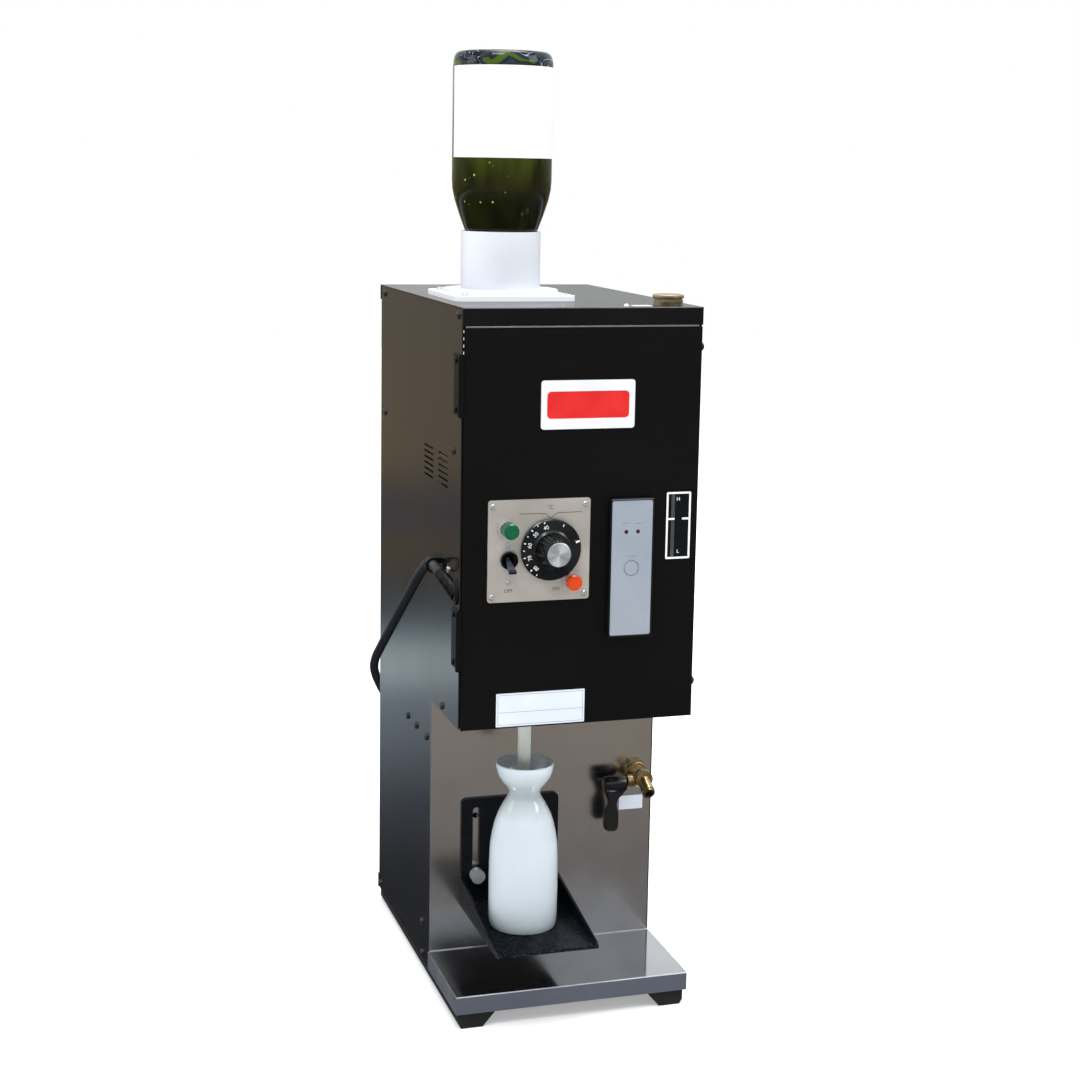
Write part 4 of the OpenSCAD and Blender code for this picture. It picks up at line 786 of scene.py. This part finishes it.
def paddle(bm, s0, s1, w0, w1, t0, t1):
    """A flat tapering blade from distance s0 to s1 along the lever, w wide and t thick at its two ends."""
    a = [piv + td * s0 + Vector((sx * w0 / 2, 0, 0)) + tn * (st * t0 / 2) for sx, st in ((-1, -1), (1, -1), (1, 1), (-1, 1))]
    b = [piv + td * s1 + Vector((sx * w1 / 2, 0, 0)) + tn * (st * t1 / 2) for sx, st in ((-1, -1), (1, -1), (1, 1), (-1, 1))]
    A, B = [bm.verts.new(D(*q)) for q in a], [bm.verts.new(D(*q)) for q in b]
    bm.faces.new(A)
    bm.faces.new(B[::-1])
    for i in range(4):
        j = (i + 1) % 4
        bm.faces.new((A[j], A[i], B[i], B[j]))
    bmesh.ops.recalc_face_normals(bm, faces=bm.faces)


bm = bmesh.new()
paddle(bm, 3.4, 19.3, 4.4, 7.2, 4.0, 3.0)
lever = obj_from(bm, "toggle_paddle", "paddle_grey", "toggle", bevel=.0007)
bm = bmesh.new()
paddle(bm, 19.2, 23.4, 7.3, 7.7, 3.1, 3.3)
obj_from(bm, "toggle_tip", "tip_purple", "toggle", bevel=.0006)
bm = bmesh.new()
bmesh.ops.create_uvsphere(bm, u_segments=32, v_segments=20, radius=0.0042, matrix=Matrix.Translation(D(*piv)))
obj_from(bm, "toggle_ball", "phenolic", "toggle")
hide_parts("toggle_lever")

# a small pan head beside the cord clip, with a cross cut in it
for k, (y, z, mk, sl) in enumerate(((46, 452.5, "screw_silver", "screw_silver"),)):
    revolve("clip_screw_%d" % k, mk, "cabinet", (-119.9, y, z), (-1, 0, 0), [(0, 0), (3.4, 0), (3.4, 0.9), (2.8, 1.7), (1.7, 2.05), (0, 2.1)], 32)
    bm = bmesh.new()
    brick(bm, -122.12, -121.6, y - 1.7, y + 1.7, z - 0.3, z + 0.3)
    brick(bm, -122.12, -121.6, y - 0.3, y + 0.3, z - 1.7, z + 1.7)
    obj_from(bm, "clip_screw_cross_%d" % k, "runner_black", "cabinet", smooth=False)

# flask: bowl-shaped mouth, narrow waist and sloping shoulders in one thin wall
fl = [(0, 1.5), (22, 1.5), (23, 0), (31.2, 0), (33.2, 1.2), (34.3, 4), (34.7, 10), (34.9, 40), (34.7, 68), (33.9, 86), (32.1, 98), (29.8, 108), (26.6, 117.5), (21.2, 128), (17.6, 133.6), (15.9, 138), (15.9, 140.5), (17.3, 143.6), (20.6, 147.6), (24.2, 152.4), (26.8, 157.6), (28.4, 163),
      (29.1, 168), (28.9, 169.4), (28.2, 170), (27.4, 169.4), (26.6, 163.4), (24.6, 157.6), (21.6, 152.6), (17.4, 147.4), (13.8, 143.2), (12.3, 138), (13.6, 132.4), (18, 126.5), (23, 117), (26.4, 107), (28.8, 96), (30.6, 84), (31, 68), (31, 13), (29, 7.5), (24, 5.5), (0, 5.5)]
flask = revolve("flask_glazed", "porcelain", "flask", (-40, 42, 84.1), (0, 0, 1), fl, 128)
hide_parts("flask")
flask.visible_glossy = False

# drain lever: barrel, hooked waist and thick paddle
bm = bmesh.new()
poly_plate(bm, [(61.2, 200.5), (63.2, 195.5), (65.3, 190.5), (66.0, 186), (64.8, 181.5), (62.4, 178.2), (61.6, 174), (61.8, 162), (62.8, 158.6), (65.4, 156.6), (69, 155.9), (72.8, 156.5), (75.6, 158.4), (76.7, 161.5), (76.8, 174), (76.2, 178.5), (75.0, 182.5), (74.6, 187), (76.2, 191.2), (80, 195), (84, 199.5), (84, 206), (61.2, 206)], 85.6, 94.4)
obj_from(bm, "drain_paddle", "phenolic", "drain_lever", bevel=.0014)
barrel = revolve("drain_barrel", "phenolic", "drain_lever", (60.6, 90, 206.6), (1, 0, 0), [(0, 0), (6.6, 0), (8.0, 0.7), (8.7, 2.2), (9.0, 11), (8.9, 21.5), (8.2, 23.2), (6.6, 24), (3.0, 24.1), (3.0, 31), (0, 31)], 64)
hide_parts("drain_lever")
# round flange and a ring of the cock
revolve("cock_flange", "brass", "cabinet", (101.5, 110.6, 211.5), (0, -1, 0), [(0, 0), (12.8, 0), (12.8, 7.2), (12.0, 8.4), (9.4, 8.8), (8.6, 9.6), (0, 9.6)], 64)

# painted highlights, shade and reflection laid as thin strips on edges of the steel and the membrane case
# painted highlight: bright strips along the tray's front, right and rear top edges
bm = bmesh.new()
brick(bm, -121.2, 121.2, -6.95, -5.9, 33.5, 34.6)
brick(bm, 120.5, 121.25, -6.0, 110, 33.8, 34.6)
brick(bm, -119.9, 119.9, 109.9, 110.65, 34.2, 35.1)
obj_from(bm, "tray_edge_bright", "edge_bright", "cabinet", smooth=False, bevel=.0003)
# painted highlight: a metal strip on the tray's left top edge and one up the column's left edge
bm = bmesh.new()
brick(bm, -121.3, -120.5, -6.0, 109.8, 33.8, 34.55)
brick(bm, -120.0, -119.35, 110.0, 110.7, 35.2, 303.5)
obj_from(bm, "column_edge_painted_highlight", "tank_steel", "cabinet", smooth=False, bevel=.0002)
# painted reflection: a dull grey sheet laid over the tray's left side face
bm = bmesh.new()
brick(bm, -121.25, -120.95, -6.5, 110.3, 16.2, 33.7)
obj_from(bm, "tray_side_painted_reflection", "edge_dull", "cabinet", smooth=False)
# painted highlight: a grey strip on the top cover's front edge
bm = bmesh.new()
brick(bm, -120.2, 120.2, -0.35, 0.5, 709.2, 710.2)
obj_from(bm, "cover_edge_painted_highlight", "edge_dull", "cabinet", smooth=False, bevel=.0003)
# painted shade: a dark strip up the column's right edge
bm = bmesh.new()
brick(bm, 120.0, 121.0, 110.4, 111.4, 35.2, 303.5)
obj_from(bm, "column_edge_dark", "hinge_black", "cabinet", smooth=False)
# painted highlight: a grey strip on the top edge of the membrane case
bm = bmesh.new()
brick(bm, 28.6, 72.0, -6.25, -5.75, 524.6, 525.5)
obj_from(bm, "membrane_case_edge", "edge_dull", "door", smooth=False, bevel=.0002)

# ---------------------------------------------------------------- stage and light
bm = bmesh.new()
R = 7.0
bm.faces.new([bm.verts.new((x * R, y * R, 0)) for x, y in ((-1, -1), (1, -1), (1, 1), (-1, 1))])
me = bpy.data.meshes.new("floor"); bm.to_mesh(me); bm.free()
floor = bpy.data.objects.new("floor", me)
bpy.context.scene.collection.objects.link(floor)
fm = surface("floor_pale", (0.88, 0.88, 0.88), (0.90, 0.90, 0.90), 0.9, 1.0, tone=2, grain=40, spec=0.0)
fp = fm.node_tree.nodes["Principled BSDF"]
fp.inputs["Emission Color"].default_value = (1, 1, 1, 1)
fv = add(fm.node_tree, "ShaderNodeTexCoord")
fl_ = add(fm.node_tree, "ShaderNodeVectorMath", operation="LENGTH")
fm.node_tree.links.new(fv.outputs["Object"], fl_.inputs[0])
fm.node_tree.links.new(remap(fm.node_tree, fl_.outputs["Value"], 0.34, 0.85, 0.7, 2.2), fp.inputs["Emission Strength"])
me.materials.append(fm)
floor.visible_glossy = False


def area(name, loc, target, size, power, col=(1, 1, 1), size_y=None):
    l = bpy.data.lights.new(name, "AREA")
    l.energy, l.size, l.color = power, size, col
    if size_y:
        l.shape, l.size_y = "RECTANGLE", size_y
    o = bpy.data.objects.new(name, l)
    bpy.context.scene.collection.objects.link(o)
    o.location = loc
    o.rotation_euler = (Vector(target) - Vector(loc)).to_track_quat("-Z", "Y").to_euler()
    return o


area("key", (-1.0, -1.5, 3.4), (0, 0, 0.5), 1.2, 54)
area("left", (-2.6, 0.3, 1.8), (0, 0, 0.45), 1.0, 7)
area("fill", (2.4, -1.4, 2.2), (0, 0, 0.5), 1.2, 22)
area("top", (0.3, 0.2, 3.0), (0, 0, 0.6), 1.6, 66)

# the room: white to look at, an even soft light on matt surfaces, and walls and furniture of different tones in the gloss
w = bpy.data.worlds.new("studio")
bpy.context.scene.world = w
w.use_nodes = True
nt = w.node_tree
bg = nt.nodes["Background"]
tc = add(nt, "ShaderNodeTexCoord")
sep = add(nt, "ShaderNodeSeparateXYZ")
nt.links.new(tc.outputs["Generated"], sep.inputs[0])


def tones(stops):
    """The tone of the room by height of view, from (height, colour) pairs; heights run from -0.5 to 0.5."""
    n_ = add(nt, "ShaderNodeValToRGB")
    nt.links.new(remap(nt, sep.outputs["Z"], 0, 1, -0.5, 0.5), n_.inputs["Fac"])
    cr = n_.color_ramp
    stops = [(h + 0.5, c) for h, c in stops]
    cr.elements[0].position, cr.elements[0].color = stops[0][0], (*stops[0][1], 1)
    cr.elements[1].position, cr.elements[1].color = stops[-1][0], (*stops[-1][1], 1)
    for h, c in stops[1:-1]:
        cr.elements.new(h).color = (*c, 1)
    return n_.outputs["Color"]


def mixed(fac, a, b):
    n_ = add(nt, "ShaderNodeMix", data_type="RGBA")
    for sock, val in ((n_.inputs[0], fac), (n_.inputs[6], a), (n_.inputs[7], b)):
        if isinstance(val, tuple):
            sock.default_value = (*val, 1)
        else:
            nt.links.new(val, sock)
    return n_.outputs[2]


back = tones([(-0.42, (0.03, 0.032, 0.036)), (-0.35, (0.03, 0.032, 0.036)), (-0.318, (0.09, 0.11, 0.14)), (-0.289, (0.27, 0.32, 0.375)), (-0.268, (0.34, 0.41, 0.49)), (-0.258, (0.80, 0.95, 1.0)), (-0.246, (0.80, 0.95, 1.0)), (-0.238, (0.32, 0.41, 0.50)), (-0.230, (0.11, 0.14, 0.17)),
              (-0.218, (0.10, 0.105, 0.115)), (-0.205, (0.125, 0.10, 0.075)), (-0.1925, (0.19, 0.13, 0.07)), (-0.183, (0.10, 0.095, 0.11)), (-0.173, (0.10, 0.098, 0.12)), (-0.163, (0.15, 0.125, 0.095)), (-0.150, (0.27, 0.205, 0.125)), (-0.06, (0.24, 0.20, 0.15)), (-0.01, (0.35, 0.33, 0.30)), (0.05, (0.44, 0.43, 0.41)), (0.095, (0.46, 0.455, 0.44)), (0.13, (0.9, 0.97, 1.0)), (0.5, (1.0, 1.0, 1.0))])
left_glow = add(nt, "ShaderNodeMath", operation="MULTIPLY")
nt.links.new(remap(nt, sep.outputs["X"], 1, 0, 0.245, 0.31), left_glow.inputs[0])
nt.links.new(remap(nt, sep.outputs["Z"], 0, 1, 0.0, 0.05), left_glow.inputs[1])
back = mixed(left_glow.outputs[0], back, (0.84, 0.81, 0.80))
front = tones([(-0.5, (0.06, 0.06, 0.07)), (-0.40, (0.24, 0.26, 0.31)), (-0.36, (0.19, 0.185, 0.205)), (-0.33, (0.23, 0.215, 0.215)), (-0.30, (0.41, 0.365, 0.315)), (-0.22, (0.36, 0.325, 0.285)), (-0.10, (0.22, 0.20, 0.18)), (0.02, (0.14, 0.14, 0.14)),
               (0.12, (0.18, 0.18, 0.18)), (0.24, (0.42, 0.44, 0.48)), (0.40, (0.44, 0.47, 0.54)), (0.46, (0.9, 0.92, 0.95)), (0.5, (1.0, 1.0, 1.0))])
room = mixed(remap(nt, sep.outputs["Y"], 0, 1, -0.25, 0.25), front, back)
lp = add(nt, "ShaderNodeLightPath")
light = mixed(lp.outputs["Is Glossy Ray"], (0.50, 0.515, 0.54), room)
light = mixed(lp.outputs["Is Camera Ray"], light, (1.0, 1.0, 1.0))
nt.links.new(light, bg.inputs["Color"])
bg.inputs["Strength"].default_value = 1.0
bpy.context.scene.view_settings.view_transform = "Standard"
